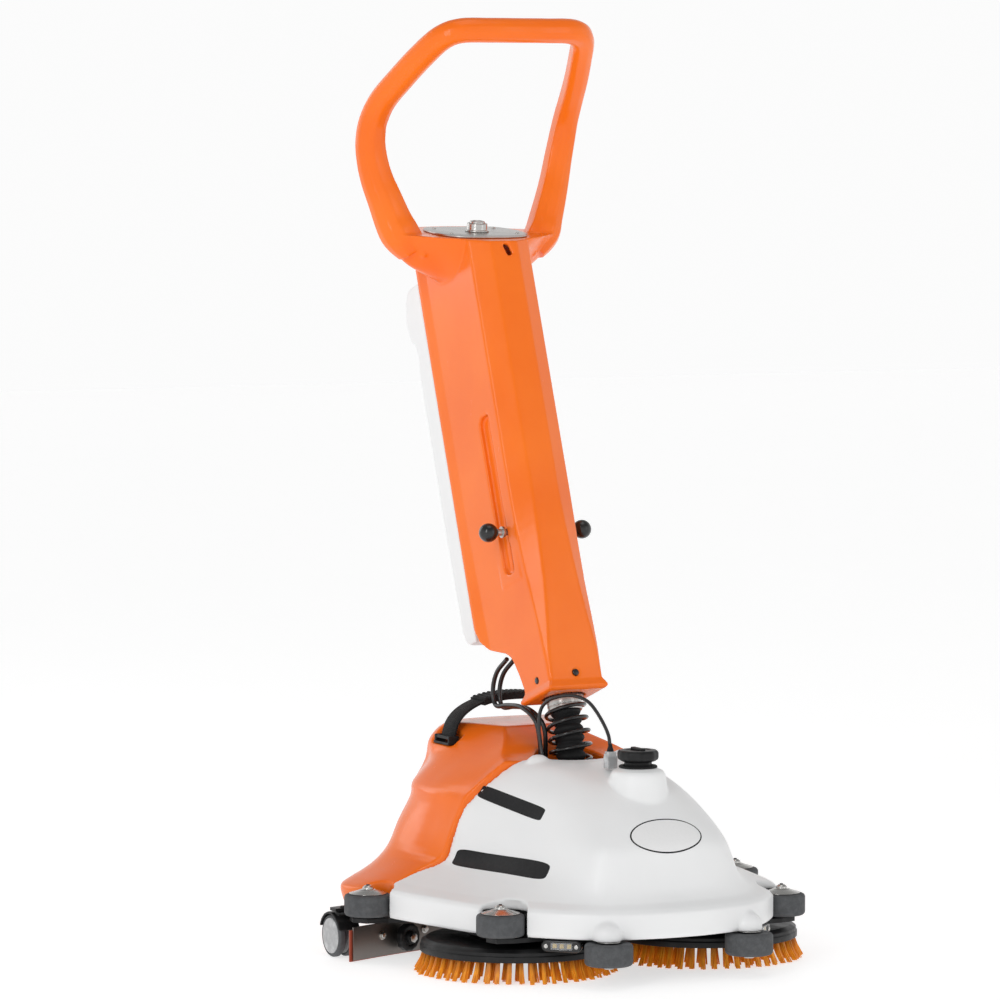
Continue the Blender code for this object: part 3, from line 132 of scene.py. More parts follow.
# ---------------------------------------------------------------- materials
class Look:
    """A small helper that adds and links shader nodes on one Principled material."""

    def __init__(self, name, colour, roughness, metallic=0.0, **sockets):
        self.material = bpy.data.materials.new(name)
        self.material.use_nodes = True
        self.tree = self.material.node_tree
        self.shader = self.tree.nodes["Principled BSDF"]
        self.set(self.shader, "Base Color", (*colour, 1.0))
        self.set(self.shader, "Roughness", roughness)
        self.set(self.shader, "Metallic", metallic)
        for key, value in sockets.items():
            self.set(self.shader, key.replace("_", " "), value)
        self.height = None

    def set(self, node, key, value):
        if isinstance(value, bpy.types.NodeSocket):
            self.tree.links.new(value, node.inputs[key])
        else:
            node.inputs[key].default_value = value

    def node(self, kind, outputs=0, settings=None, **inputs):
        made = self.tree.nodes.new(kind)
        for key, value in (settings or {}).items():
            setattr(made, key, value)
        for key, value in inputs.items():
            self.set(made, int(key[1:]) if key[1:].isdigit() else key.replace("_", " "), value)
        return made.outputs[outputs]

    def coords(self, scale=(1.0, 1.0, 1.0), turn=(0.0, 0.0, 0.0)):
        spot = self.node("ShaderNodeTexCoord", "Object")
        return self.node("ShaderNodeMapping", Vector=spot, Scale=scale, Rotation=turn)

    def noise(self, scale, detail=3.0, stretch=(1.0, 1.0, 1.0), rough=0.5, turn=(0.0, 0.0, 0.0)):
        spot = self.coords(stretch, turn)
        return self.node("ShaderNodeTexNoise", "Fac", Vector=spot, Scale=scale, Detail=detail,
                         Roughness=rough)

    def ramp(self, value, low, high, to_low, to_high):
        limits = {"From_Min": low, "From_Max": high, "To_Min": to_low, "To_Max": to_high}
        return self.node("ShaderNodeMapRange", "Result", Value=value, **limits)

    def mix(self, factor, one, two):
        made = self.tree.nodes.new("ShaderNodeMix")
        made.data_type = "RGBA"
        self.set(made, "Factor", factor)
        for key, value in ((6, one), (7, two)):
            if isinstance(value, bpy.types.NodeSocket):
                self.tree.links.new(value, made.inputs[key])
            else:
                made.inputs[key].default_value = (*value, 1.0)
        return made.outputs[2]

    def bump(self, height, distance, strength=1.0):
        """Adds one layer of relief, in metres, on top of the earlier ones."""
        made = self.tree.nodes.new("ShaderNodeBump")
        self.set(made, "Strength", strength)
        self.set(made, "Distance", distance)
        self.set(made, "Height", height)
        if self.height is not None:
            self.tree.links.new(self.height, made.inputs["Normal"])
        self.height = made.outputs["Normal"]
        self.set(self.shader, "Normal", self.height)

    def colour(self, socket):
        self.set(self.shader, "Base Color", socket)

    def rough(self, socket):
        self.set(self.shader, "Roughness", socket)

    def mottle(self, one, two, scale, detail, low=0.3, high=0.7, **more):
        """Lets the colour wander between two tones."""
        self.colour(self.mix(self.ramp(self.noise(scale, detail, **more), low, high, 0.0, 1.0), one, two))

    def wear(self, glossy, dull, scale, detail, low=0.3, high=0.7, **more):
        """Lets the roughness wander between two values."""
        self.rough(self.ramp(self.noise(scale, detail, **more), low, high, glossy, dull))

    def grain(self, scale, detail, distance, strength, **more):
        """Adds one layer of fine relief."""
        self.bump(self.noise(scale, detail, **more), distance, strength)


def floor_material():
    look = Look("studio_floor", (0.6, 0.6, 0.6), 0.6, Specular_IOR_Level=0.1, Emission_Strength=0.64)
    look.colour(look.mix(look.noise(3.0), (0.59, 0.59, 0.59), (0.61, 0.61, 0.61)))
    look.shader.inputs["Emission Color"].default_value = (1.0, 1.0, 1.0, 1.0)
    return look.material


def orange_material():
    """Moulded glossy plastic: faint orange peel, small scuffs, slightly uneven pigment."""
    look = Look("glossy_orange_plastic", (0.9, 0.17, 0.02), 0.24, Specular_IOR_Level=0.28, Coat_Weight=0.1)
    look.set(look.shader, "Coat Roughness", 0.12)
    look.mottle((0.95, 0.165, 0.008), (1.0, 0.195, 0.012), 9.0, 4.0)
    look.wear(0.2, 0.3, 60.0, 5.0, 0.45, 0.8, stretch=(1.0, 1.0, 0.25), rough=0.7)
    look.grain(420.0, 2.0, 0.00004, 0.5)
    look.grain(30.0, 2.0, 0.0002, 0.25)
    return look.material


def white_material():
    """Rotomoulded polyethylene: satin, a little translucent, finely pebbled."""
    look = Look("satin_white_plastic", (0.86, 0.865, 0.87), 0.38, Subsurface_Weight=0.12)
    look.set(look.shader, "Subsurface Radius", (0.01, 0.01, 0.01))
    look.set(look.shader, "Subsurface Scale", 0.3)
    look.mottle((0.85, 0.855, 0.86), (0.875, 0.88, 0.88), 7.0, 5.0)
    look.wear(0.32, 0.5, 45.0, 5.0, 0.3, 0.8)
    look.grain(700.0, 2.0, 0.00003, 0.5)
    look.grain(22.0, 2.0, 0.0003, 0.2)
    return look.material


def black_plastic_material(name="black_plastic", low=0.35, high=0.55, colour=(0.008, 0.008, 0.0085)):
    look = Look(name, colour, 0.45, Specular_IOR_Level=0.3)
    dust = tuple(1.8 * c + 0.003 for c in colour)
    look.mottle(colour, dust, 90.0, 6.0, 0.45, 0.85)
    look.wear(low, high, 70.0, 5.0, 0.3, 0.75)
    look.grain(900.0, 2.0, 0.00003, 0.7)
    return look.material


def rubber_material(name, colour, dusty=0.5):
    look = Look(name, colour, 0.72, Specular_IOR_Level=0.3)
    pale = tuple(c + 0.05 * dusty * (0.2 + 8.0 * c) for c in colour)
    look.mottle(colour, pale, 130.0, 7.0, 0.42, 0.8, rough=0.7)
    look.wear(0.6, 0.85, 60.0, 5.0, 0.3, 0.75)
    look.grain(520.0, 4.0, 0.00012, 0.8, rough=0.65)
    look.grain(75.0, 3.0, 0.0003, 0.35)
    return look.material


def steel_material(name="brushed_steel", colour=(0.56, 0.55, 0.53), stretch=(1.0, 60.0, 60.0),
                   rough=(0.22, 0.38)):
    look = Look(name, colour, 0.3, 1.0)
    lines = look.noise(26.0, 6.0, stretch, 0.65)
    look.rough(look.ramp(lines, 0.25, 0.75, *rough))
    darker = tuple(0.78 * c for c in colour)
    look.colour(look.mix(look.ramp(lines, 0.3, 0.7, 0.0, 1.0), darker, colour))
    look.bump(lines, 0.00003, 0.5)
    look.grain(40.0, 4.0, 0.0001, 0.15)
    return look.material


def black_steel_material():
    look = Look("gloss_black_steel", (0.009, 0.009, 0.01), 0.2, 0.0, Coat_Weight=0.35, Specular_IOR_Level=0.4)
    look.wear(0.12, 0.28, 80.0, 4.0)
    look.mottle((0.007, 0.007, 0.0075), (0.018, 0.018, 0.018), 120.0, 5.0, 0.5, 0.8)
    look.grain(260.0, 3.0, 0.00005, 0.5)
    return look.material


def bristle_material():
    """Nylon strands: each a little different, with painted shade darkening them towards the root, under the
    brush plate.
    """
    look = Look("orange_nylon", (0.8, 0.3, 0.03), 0.42)
    strand = look.noise(240.0, 2.0, (1.0, 1.0, 0.08))
    body = look.mix(look.ramp(strand, 0.3, 0.7, 0.0, 1.0), (0.82, 0.24, 0.008), (1.0, 0.42, 0.02))
    # Painted shade: by height, the strands turn dark brown towards their roots, where the brush plate shades
    # them.
    spot = look.node("ShaderNodeSeparateXYZ", 2, Vector=look.node("ShaderNodeTexCoord", "Object"))
    height = look.ramp(spot, 0.012, 0.027, 0.0, 0.7)
    look.colour(look.mix(height, body, (0.22, 0.05, 0.006)))
    look.bump(strand, 0.0001, 0.4)
    return look.material


def webbing_material():
    """Woven polyester: fine crossing ribs."""
    look = Look("black_webbing", (0.012, 0.012, 0.013), 0.85, Sheen_Weight=0.08, Specular_IOR_Level=0.2)
    along = look.node("ShaderNodeTexWave", "Fac", Vector=look.coords((1.0, 0.0, 1.0)), Scale=520.0,
                      Distortion=0.6)
    crosswise = {"bands_direction": "Y"}
    across = look.node("ShaderNodeTexWave", "Fac", crosswise, Vector=look.coords(), Scale=300.0,
                       Distortion=0.6)
    weave = look.node("ShaderNodeMath", 0, {"operation": "MULTIPLY"}, _0=along, _1=across)
    look.bump(weave, 0.00035, 0.8)
    look.colour(look.mix(weave, (0.006, 0.006, 0.0065), (0.02, 0.02, 0.021)))
    look.wear(0.75, 0.95, 90.0, 4.0)
    return look.material


def glass_material():
    look = Look("lamp_window", (0.95, 0.96, 0.97), 0.06, Transmission_Weight=0.85, IOR=1.45)
    look.wear(0.04, 0.2, 150.0, 4.0, 0.4, 0.8)
    look.grain(200.0, 3.0, 0.00005, 0.3)
    return look.material


def led_material():
    look = Look("yellow_phosphor", (0.95, 0.62, 0.05), 0.4)
    look.colour(look.mix(look.noise(500.0), (0.9, 0.5, 0.03), (1.0, 0.75, 0.12)))
    look.grain(800.0, 3.0, 0.0001, 0.4)
    return look.material


def label_material(name, colour, speck):
    look = Look(name, colour, 0.45, Specular_IOR_Level=0.15)
    look.mottle(colour, speck, 300.0, 5.0, 0.45, 0.8)
    look.wear(0.42, 0.5, 120.0, 4.0)
    look.grain(500.0, 2.0, 0.00001, 0.3)
    return look.material


def board_material():
    green = (0.03, 0.16, 0.07)
    look = Look("board_green", green, 0.6)
    look.colour(look.mix(look.noise(60.0, 4.0), green, tuple(1.4 * c for c in green)))
    look.grain(300.0, 3.0, 0.0001, 0.4)
    return look.material


def cable_material():
    look = Look("cable_black", (0.008, 0.008, 0.009), 0.3, Specular_IOR_Level=0.5, Coat_Weight=0.2)
    look.colour(look.mix(look.noise(240.0, 4.0), (0.006, 0.006, 0.007), (0.014, 0.014, 0.015)))
    look.wear(0.24, 0.4, 90.0, 3.0)
    look.grain(700.0, 2.0, 0.00003, 0.4)
    return look.material


# ---------------------------------------------------------------- meshes
def new_object(name, bm, smooth=None):
    bmesh.ops.recalc_face_normals(bm, faces=bm.faces)
    mesh = bpy.data.meshes.new(name)
    bm.to_mesh(mesh)
    bm.free()
    if smooth is not None:
        mesh.shade_smooth()
        mesh.set_sharp_from_angle(angle=math.radians(smooth))
    made = bpy.data.objects.new(name, mesh)
    bpy.context.scene.collection.objects.link(made)
    return made


def catmull(p0, p1, p2, p3, u):
    return 0.5 * (
        2 * p1 + (p2 - p0) * u + (2 * p0 - 5 * p1 + 4 * p2 - p3) * u**2 + (3 * p1 - p0 - 3 * p2 + p3) * u**3
    )


def rounded(points, per):
    """A smooth closed loop through the points, with `per` steps between neighbours."""
    count = len(points)
    loop = []
    for i in range(count):
        p0, p1, p2, p3 = (Vector(points[(i + k) % count]) for k in (-1, 0, 1, 2))
        loop += [catmull(p0, p1, p2, p3, step / per) for step in range(per)]
    return loop


def smooth_line(points, per):
    """A smooth open line through the points, ends included."""
    ends = [Vector(points[0]) * 2 - Vector(points[1])]
    ends += [Vector(point) for point in points]
    ends.append(Vector(points[-1]) * 2 - Vector(points[-2]))
    line = []
    for p0, p1, p2, p3 in zip(ends, ends[1:], ends[2:], ends[3:]):
        line += [catmull(p0, p1, p2, p3, step / per) for step in range(per)]
    line.append(ends[-2])
    return line


def stacked(rings, bm=None):
    """A closed body through rings of equal length, each a loop of points, capped at both ends."""
    bm = bm or bmesh.new()
    rows = [[bm.verts.new(point) for point in ring] for ring in rings]
    for lower, upper in zip(rows, rows[1:]):
        for i in range(len(lower)):
            j = (i + 1) % len(lower)
            bm.faces.new((lower[i], lower[j], upper[j], upper[i]))
    bm.faces.new(list(reversed(rows[0])))
    bm.faces.new(rows[-1])
    return bm


def smooth_rings(levels, per):
    """Rings between the given ones, each point on a smooth curve up its own column of points."""
    columns = [smooth_line([ring[i] for ring in levels], per) for i in range(len(levels[0]))]
    return [list(ring) for ring in zip(*columns)]


def round_corners(profile, width=0.6, steps=3):
    """The (radius, height) profile with its corners off the axis rounded."""
    made = []
    for i, (r, h) in enumerate(profile):
        here = Vector((r, h))
        before = Vector(profile[i - 1])
        after = Vector(profile[(i + 1) % len(profile)])
        ends = profile[0][0] == 0.0 and i in (0, len(profile) - 1)
        if ends or r == 0.0:
            made.append((r, h))
            continue
        back, ahead = before - here, after - here
        reach = min(width, 0.45 * back.length, 0.45 * ahead.length)
        one = here + back.normalized() * reach
        two = here + ahead.normalized() * reach
        for step in range(steps + 1):
            u = step / steps
            spot = one * (1 - u) ** 2 + here * 2 * u * (1 - u) + two * u**2
            made.append((max(0.0, spot.x), spot.y))
    return made


def turned(profile, centre, axis=(0.0, 0.0, 1.0), steps=64, edge=0.6, bm=None, lobes=0, depth=0.0):
    """A body of revolution from (radius, height) points.

    A profile that starts and ends on the axis gives a solid, and any other leaves a bore. Lobes wave its rim.
    """
    bm = bm or bmesh.new()
    turn = UP.rotation_difference(Vector(axis)).to_matrix().to_4x4()
    onto = Matrix.Translation(centre) @ turn
    solid = profile[0][0] == 0.0 and profile[-1][0] == 0.0
    if edge:
        profile = round_corners(profile, edge)
    rows = []
    for radius, height in profile:
        count = 1 if radius == 0.0 else steps
        row = []
        for i in range(count):
            angle = 2.0 * math.pi * i / steps
            reach = radius * (1.0 + depth * math.cos(lobes * angle))
            spot = Vector((reach * math.cos(angle), reach * math.sin(angle), height)) / 1000.0
            row.append(bm.verts.new(onto @ spot))
        rows.append(row)
    pairs = list(zip(rows, rows[1:]))
    if not solid:
        pairs.append((rows[-1], rows[0]))
    for one, two in pairs:
        for i in range(steps):
            j = (i + 1) % steps
            corners = [one[i % len(one)], one[j % len(one)], two[j % len(two)], two[i % len(two)]]
            corners = list(dict.fromkeys(corners))
            if len(corners) > 2:
                bm.faces.new(corners)
    return bm


def disc(radius, low, high):
    return [(0.0, low), (radius, low), (radius, high), (0.0, high)]


def slab(outline, low, high, bm=None):
    """A plan outline of (x, f) points, extruded between two heights."""
    return stacked([[place(x, f, z) for x, f in outline] for z in (low, high)], bm)


def cross_slab(outline, x_low, x_high, spot, bm=None):
    """An outline in the (f, z) or (t, s) plane, extruded across the machine."""
    return stacked([[spot(x, a, b) for a, b in outline] for x in (x_low, x_high)], bm)


def block(low, high, bm=None):
    outline = [(low[0], low[1]), (high[0], low[1]), (high[0], high[1]), (low[0], high[1])]
    return slab(outline, low[2], high[2], bm)


def frames_along(path, up):
    side = None
    for i, spot in enumerate(path):
        ahead = (path[min(i + 1, len(path) - 1)] - path[max(i - 1, 0)]).normalized()
        if side is None:
            side = ahead.cross(up).normalized()
        side = (side - ahead * side.dot(ahead)).normalized()
        yield i, spot, side, side.cross(ahead)


def swept(path, section, up=UP, bm=None):
    """A body swept along a line. The section lists (sideways, upwards) offsets, or is made for each step."""
    rings = []
    for i, spot, side, over in frames_along(path, up):
        here = section(i) if callable(section) else section
        rings.append([spot + (side * a + over * b) / 1000.0 for a, b in here])
    return stacked(rings, bm)


def ring_section(radius, steps, squash=1.0):
    angles = [2.0 * math.pi * i / steps for i in range(steps)]
    return [(radius * math.cos(a), radius * squash * math.sin(a)) for a in angles]


def mirrored(half):
    """A whole plan outline from its x >= 0 half, listed from the front middle to the rear middle."""
    inner = [point for point in reversed(half) if point[0] > 0.0]
    return list(half) + [(-x, f) for x, f in inner]


def bevel(target, width, segments=3, angle=35.0):
    made = target.modifiers.new("bevel", "BEVEL")
    made.width = width / 1000.0
    made.segments = segments
    made.limit_method = "ANGLE"
    made.angle_limit = math.radians(angle)
    return target


def settle(target, smooth=40.0):
    """Applies every modifier, and leaves a plain shaded mesh."""
    bpy.context.view_layer.update()
    graph = bpy.context.evaluated_depsgraph_get()
    made = bpy.data.meshes.new_from_object(target.evaluated_get(graph))
    target.modifiers.clear()
    target.data = made
    made.shade_smooth()
    if smooth < 180.0:
        made.set_sharp_from_angle(angle=math.radians(smooth))
    return target


def cut(target, *shapes, operation="DIFFERENCE"):
    """Cuts the shapes from the target, or joins them to it, one by one."""
    for bm in shapes:
        tool = new_object("tool", bm)
        change = target.modifiers.new("change", "BOOLEAN")
        change.operation = operation
        change.solver = "EXACT"
        change.object = tool
        settle(target)
        bpy.data.objects.remove(tool)
    return target


def join(target, *shapes):
    return cut(target, *shapes, operation="UNION")


def melt(target, voxel, rounds, factor=0.5):
    """Turns a body into one even skin and smooths it, which rounds its edges as a mould does."""
    skin = target.modifiers.new("skin", "REMESH")
    skin.mode = "VOXEL"
    skin.voxel_size = voxel / 1000.0
    skin.use_smooth_shade = True
    ease = target.modifiers.new("ease", "SMOOTH")
    ease.factor = factor
    ease.iterations = rounds
    return settle(target, 180.0)


def finish_piece(target, body, slot, look, *nodes):
    """Gives a piece its material and its body, and hides the CAD nodes that it stands for. The slot is not
    used.
    """
    target.data.materials.clear()
    target.data.materials.append(look)
    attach(target, body)
    if nodes:
        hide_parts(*nodes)
    return target


def piece(name, bm, body, slot, look, *nodes, smooth=40.0, edge=0.0):
    made = new_object(name, bm, smooth)
    if edge:
        bevel(made, edge)
        settle(made, smooth)
    return finish_piece(made, body, slot, look, *nodes)


# ---------------------------------------------------------------- clean-water tank
SKIRT = [(0, 195), (52, 190), (100, 176), (140, 147), (178, 104), (203, 72), (222, 30), (240, -50),
         (255, -136), (252, -200)]
# Half outlines of the body, from the front middle to the rear, at rising heights.
BODY = {
    99: (178, (50, 175), (96, 162), (130, 132), (160, 92), (182, 56), (197, 20), (214, -50), (226, -130),
         (222, -200)),
    110: (170, (48, 168), (92, 156), (122, 126), (144, 88), (160, 50), (172, 14), (186, -50), (198, -130),
          (196, -200)),
    125: (165, (46, 163), (88, 151), (113, 124), (127, 86), (138, 48), (147, 10), (158, -52), (172, -130),
          (174, -200)),
    145: (160, (44, 158), (84, 147), (106, 122), (117, 84), (126, 44), (133, 8), (144, -54), (164, -130),
          (170, -200)),
    166: (154, (42, 152), (78, 141), (99, 116), (110, 80), (118, 40), (125, 4), (138, -56), (158, -130),
          (164, -200)),
    190: (136, (36, 134), (68, 121), (88, 97), (100, 64), (108, 28), (115, -8), (128, -60), (149, -130),
          (154, -200)),
    213: (109, (32, 107), (58, 95), (76, 72), (88, 42), (97, 10), (105, -20), (116, -66), (133, -130),
          (138, -200)),
    233: (74, (28, 72), (48, 61), (62, 42), (72, 16), (80, -10), (88, -36), (98, -76), (110, -130),
          (114, -200)),
    246: (30, (20, 28), (36, 20), (48, 4), (58, -14), (66, -32), (72, -50), (80, -84), (88, -130),
          (90, -200)),
    251: (-10, (12, -12), (24, -18), (34, -28), (42, -38), (50, -50), (56, -62), (64, -92), (72, -130),
          (74, -200)),
}
SEAM = [(52, -97), (78, -99), (112, -104), (130, -110), (145, -118), (158, -122), (172, -125), (190, -136),
        (215, -142), (330, -140)]
FILLER = (0.0, 72.0)
ROLLERS = {"rear": (267.0, -148.0, 58.0), "side": (200.0, 85.0, 58.0), "front": (99.0, 178.0, 27.0)}
ROLLER_R = 30.0
ROLLER_H = 27.5
ROLLER_ROOM = ROLLER_R + 3.5
POCKET_R = 47.0  # the upright opening round the joint
PER = 5  # steps between neighbouring outline points


def plan_loop(half, inset=0.0):
    """The whole smooth outline, moved in by the inset."""
    points = [(0.0, half[0]), *half[1:]] if not isinstance(half[0], tuple) else list(half)
    loop = [(p.x, p.y) for p in rounded([Vector(p) for p in mirrored(points)], PER)]
    inner = []
    for i, (x, f) in enumerate(loop):
        x0, f0 = loop[i - 1]
        x1, f1 = loop[(i + 1) % len(loop)]
        run = Vector((x1 - x0, f1 - f0))
        inward = Vector((run.y, -run.x)).normalized()
        inner.append((x + inward.x * inset, f + inward.y * inset))
    return inner


def plan_ring(half, z, inset=0.0):
    return [place(x, f, z) for x, f in plan_loop(half, inset)]


def seam_cutter(behind, shift=0.0):
    line = [(-x, f - shift) for x, f in reversed(SEAM)] + [(x, f - shift) for x, f in SEAM]
    line = [(p.x, p.y) for p in smooth_line([Vector(p) for p in line], 6)]
    end = -520.0 if behind else 320.0
    return slab(line + [(330.0, end), (-330.0, end)], 20.0, 340.0)


def pocket_cutter(to_front=False):
    turn = range(180, 361, 6) if to_front else range(0, 360, 6)
    spots = [(math.cos(math.radians(a)), math.sin(math.radians(a))) for a in turn]
    outline = [(POCKET_R * c, JOINT_F + POCKET_R * s) for c, s in spots]
    if to_front:
        outline += [(POCKET_R, 20.0), (-POCKET_R, 20.0)]
    return slab(outline, 18.0, 345.0)


def dome(x, f, radius, z, base):
    angles = [math.radians(a) for a in range(0, 91, 10)]
    profile = [(0.0, base), (radius, base)]
    profile += [(radius * math.cos(a), z + radius * math.sin(a)) for a in angles[:-1]]
    return turned(profile + [(0.0, z + radius)], place(x, f, 0.0), edge=0.0)


def build_clean_tank(look):
    skirt = [plan_ring(SKIRT, 57.0, 2.0), plan_ring(SKIRT, 60.0), plan_ring(SKIRT, 88.0),
             plan_ring(SKIRT, 93.0, 5.0)]
    body = smooth_rings([plan_ring(half, z) for z, half in BODY.items()], 4)
    tank = new_object("white_front_tank", stacked(skirt + body))
    pod = [(0.0, 140.0), (45.0, 140.0), (42.0, 176.0), (39.5, 205.0), (36.5, 232.0), (34.5, 247.0),
           (30.0, 252.0), (0.0, 252.0)]
    neck = [(0.0, 248.0), (25.0, 248.0), (24.5, 254.5), (0.0, 254.5)]
    join(tank, turned(pod, place(*FILLER, 0.0), edge=3.0), turned(neck, place(*FILLER, 0.0)))
    for sign, _ in SIDES:
        join(tank, dome(sign * 99.0, 174.0, 18.5, 62.0, 57.0), dome(sign * 60.0, -80.0, 18.0, 240.0, 226.0))
    bay = [plan_ring(SKIRT, 40.0, 6.0), plan_ring(SKIRT, 86.0, 6.0)]
    upper = [plan_ring(BODY[110], 84.0, 8.0), plan_ring(BODY[110], 96.0, 8.0),
             plan_ring(BODY[125], 122.0, 8.0)]
    cut(tank, stacked(bay), stacked(upper))
    cut(tank, seam_cutter(True), pocket_cutter())
    cut(tank, turned(disc(18.0, 204.0, 260.0), place(*FILLER, 0.0), edge=0.0))
    for sign, _ in SIDES:
        for x, f, _ in (ROLLERS["rear"], ROLLERS["side"]):
            cut(tank, turned(disc(ROLLER_ROOM, 40.0, 99.0), place(sign * x, f, 0.0), edge=0.0))
    melt(tank, 1.9, 6)
    return finish_piece(tank, "chassis", "tank_white", look, "clean_water_tank")


# ---------------------------------------------------------------- recovery tank
# Half outlines at rising heights, from the side of the joint's pocket to the rear middle.
RECOVERY = {
    65: ((208, -60), (234, -120), (256, -165), (264, -205), (256, -239), (220, -261), (140, -282), (0, -290)),
    84: ((210, -60), (236, -120), (258, -165), (266, -205), (260, -242), (224, -265), (142, -286), (0, -294)),
    92: ((204, -60), (230, -120), (250, -165), (256, -205), (250, -244), (216, -268), (140, -290), (0, -300)),
    108: ((180, -60), (200, -120), (216, -165), (220, -205), (215, -246), (190, -274), (130, -298),
          (0, -310)),
    128: ((166, -60), (174, -120), (184, -165), (190, -205), (188, -250), (168, -282), (120, -306),
          (0, -318)),
    158: ((158, -60), (163, -120), (167, -165), (170, -205), (168, -254), (152, -290), (112, -316),
          (0, -328)),
    190: ((144, -60), (150, -120), (155, -165), (157, -205), (150, -258), (132, -294), (104, -322),
          (0, -334)),
    208: ((134, -60), (142, -120), (149, -165), (151, -205), (146, -260), (127, -296), (98, -325), (0, -337)),
    232: ((110, -60), (117, -120), (121, -165), (123, -205), (122, -258), (106, -298), (88, -328), (0, -338)),
    256: ((80, -60), (84, -120), (86, -165), (90, -205), (98, -250), (105, -290), (84, -324), (0, -335)),
    272: ((58, -60), (58, -120), (58, -165), (64, -205), (77, -250), (91, -284), (76, -318), (0, -328)),
    281: ((34, -60), (34, -120), (36, -165), (44, -205), (60, -250), (76, -280), (66, -306), (0, -316)),
}
STRAP_F = -268.0  # the strap's place along the tank
SEAT_Z = 254.0  # the height of the flats under its two ends


def build_recovery_tank(look):
    levels = [plan_ring(((0, -60), *half), z) for z, half in RECOVERY.items()]
    tank = new_object("orange_rear_tank", stacked(smooth_rings(levels, 3)))
    slope = [(-226.0, 286.0), (-190.0, 277.0), (-150.0, 263.0), (-118.0, 251.0), (-40.0, 238.0)]
    slope = [(p.x, p.y) for p in smooth_line([Vector(p) for p in slope], 4)]
    wedge = cross_slab(slope + [(-40.0, 420.0), (-226.0, 420.0)], -200.0, 200.0, place)
    cut(tank, wedge, seam_cutter(False, 1.0), pocket_cutter(to_front=True))
    cut(tank, turned(disc(14.0, 50.0, 110.0), place(0.0, -278.0, 0.0), edge=0.0))
    for sign, _ in SIDES:
        low, high = sorted((sign * 81.0, sign * 150.0))
        x, f, _ = ROLLERS["rear"]
        notch = turned(disc(ROLLER_ROOM, 40.0, 99.0), place(sign * x, f, 0.0), edge=0.0)
        cut(tank, notch, block((low, STRAP_F - 24.0, SEAT_Z), (high, STRAP_F + 24.0, 330.0)))
    melt(tank, 1.9, 6)
    return finish_piece(tank, "recovery_tank", "shell_orange", look, "recovery_tank")


# ---------------------------------------------------------------- column and handle
COLUMN_HALF_W = 44.5
COLUMN_BACK_T = -128.0
TOP_MIDDLE = (-366.0, 910.6)  # f and z of the button's place on the head's sloping top
TOP_SLOPE = math.radians(5.7)
TOP_NORMAL = Vector((0.0, -math.sin(TOP_SLOPE), math.cos(TOP_SLOPE)))
HOUSING_S = (102.0, 592.0)
SLOT_S = (160.0, 372.0)
SLOT_T = -13.0
SLOT_W = 26.0
ROD_S = 214.0
ROD_T = -5.0
# Half sections up the column: s, the half width, the front face's half width and t, the side edge's t,
# and the rear's half width.
SECTIONS = (
    (0.0, 38.6, 35.5, 39.5, 36.0, 38.6),
    (24.0, 38.9, 35.5, 40.0, 36.2, 39.5),
    (52.0, 39.8, 33.5, 41.5, 36.4, 42.0),
    (95.0, 40.3, 28.0, 42.0, 33.0, 45.5),
    (142.0, 41.6, 24.0, 41.5, 28.0, 46.9),
    (202.0, 43.3, 20.5, 40.5, 25.0, 46.9),
    (255.0, 44.5, 19.0, 39.5, 24.0, 46.9),
    (310.0, 44.5, 19.0, 39.5, 24.0, 46.9),
    (480.0, 44.5, 19.0, 39.5, 24.0, 46.9),
    (650.0, 44.5, 19.0, 39.5, 24.0, 46.9),
)
# The handle's half line, from inside the head up one arm and over to the middle of the bar, with its radius.
HANDLE = (
    (88, -381, 890, 20),
    (99, -382, 903, 23.5),
    (106.6, -384, 914, 24.5),
    (112.8, -388, 929, 23.4),
    (122, -392, 955, 21.8),
    (130.8, -397, 981, 20.4),
    (137, -399, 1007, 19.4),
    (141, -396, 1033, 18.6),
    (141.5, -386, 1059, 17.6),
    (138, -365, 1085, 16.8),
    (129, -334, 1111, 16.6),
    (117, -300, 1139, 16.4),
    (103, -268, 1163, 16.1),
    (82, -252, 1173, 15.8),
    (40, -248, 1174, 15.6),
    (0, -248, 1174, 15.6),
)
# The handle's section: flat towards the other arm, with a crease at its inner front corner.
GRIP = ((0.86, -0.45), (0.86, 0.2), (0.82, 0.78), (0.3, 0.98), (-0.35, 0.97), (-0.82, 0.66), (-1.0, 0.1))
GRIP += ((-0.92, -0.48), (-0.55, -0.88), (0.0, -1.0), (0.5, -0.9))
# The head's flared cheeks: heights under the sloping top, each with a half outline (x, forward).
CHEEKS = {
    0: ((0, 66), (22, 66), (46, 55), (74, 38), (100, 15), (120, 2), (131, -14), (128, -32), (112, -45),
        (80, -56), (52, -80), (0, -90)),
    -22: ((0, 60), (20, 60), (44, 50), (66, 26), (88, 8), (104, -4), (113, -15), (108, -30), (92, -41),
          (70, -46), (46, -60), (0, -70)),
    -42: ((0, 50), (18, 50), (42, 40), (56, 18), (73, 4), (85, -6), (91, -15), (86, -27), (74, -34),
          (58, -38), (44, -44), (0, -50)),
    -56: ((0, 40), (16, 40), (38, 30), (50, 9), (57, 0), (62, -7), (64, -14), (62, -21), (57, -27), (50, -31),
          (42, -34), (0, -40)),
    -66: ((0, 30), (14, 30), (32, 20), (40, 1), (42, -3), (43, -8), (43, -13), (43, -17), (42, -21),
          (40, -24), (36, -26), (0, -30)),
}


def on_top(x, forward, height):
    """A place over the head's sloping top, from the button's middle."""
    f = TOP_MIDDLE[0] + forward * math.cos(TOP_SLOPE) + height * math.sin(TOP_SLOPE)
    z = TOP_MIDDLE[1] - forward * math.sin(TOP_SLOPE) + height * math.cos(TOP_SLOPE)
    return place(x, f, z)


def above_top(lift, half_w, front=230.0, back=-260.0, height=200.0):
    return cross_slab([(back, lift), (front, lift), (front, height), (back, height)], -half_w, half_w, on_top)


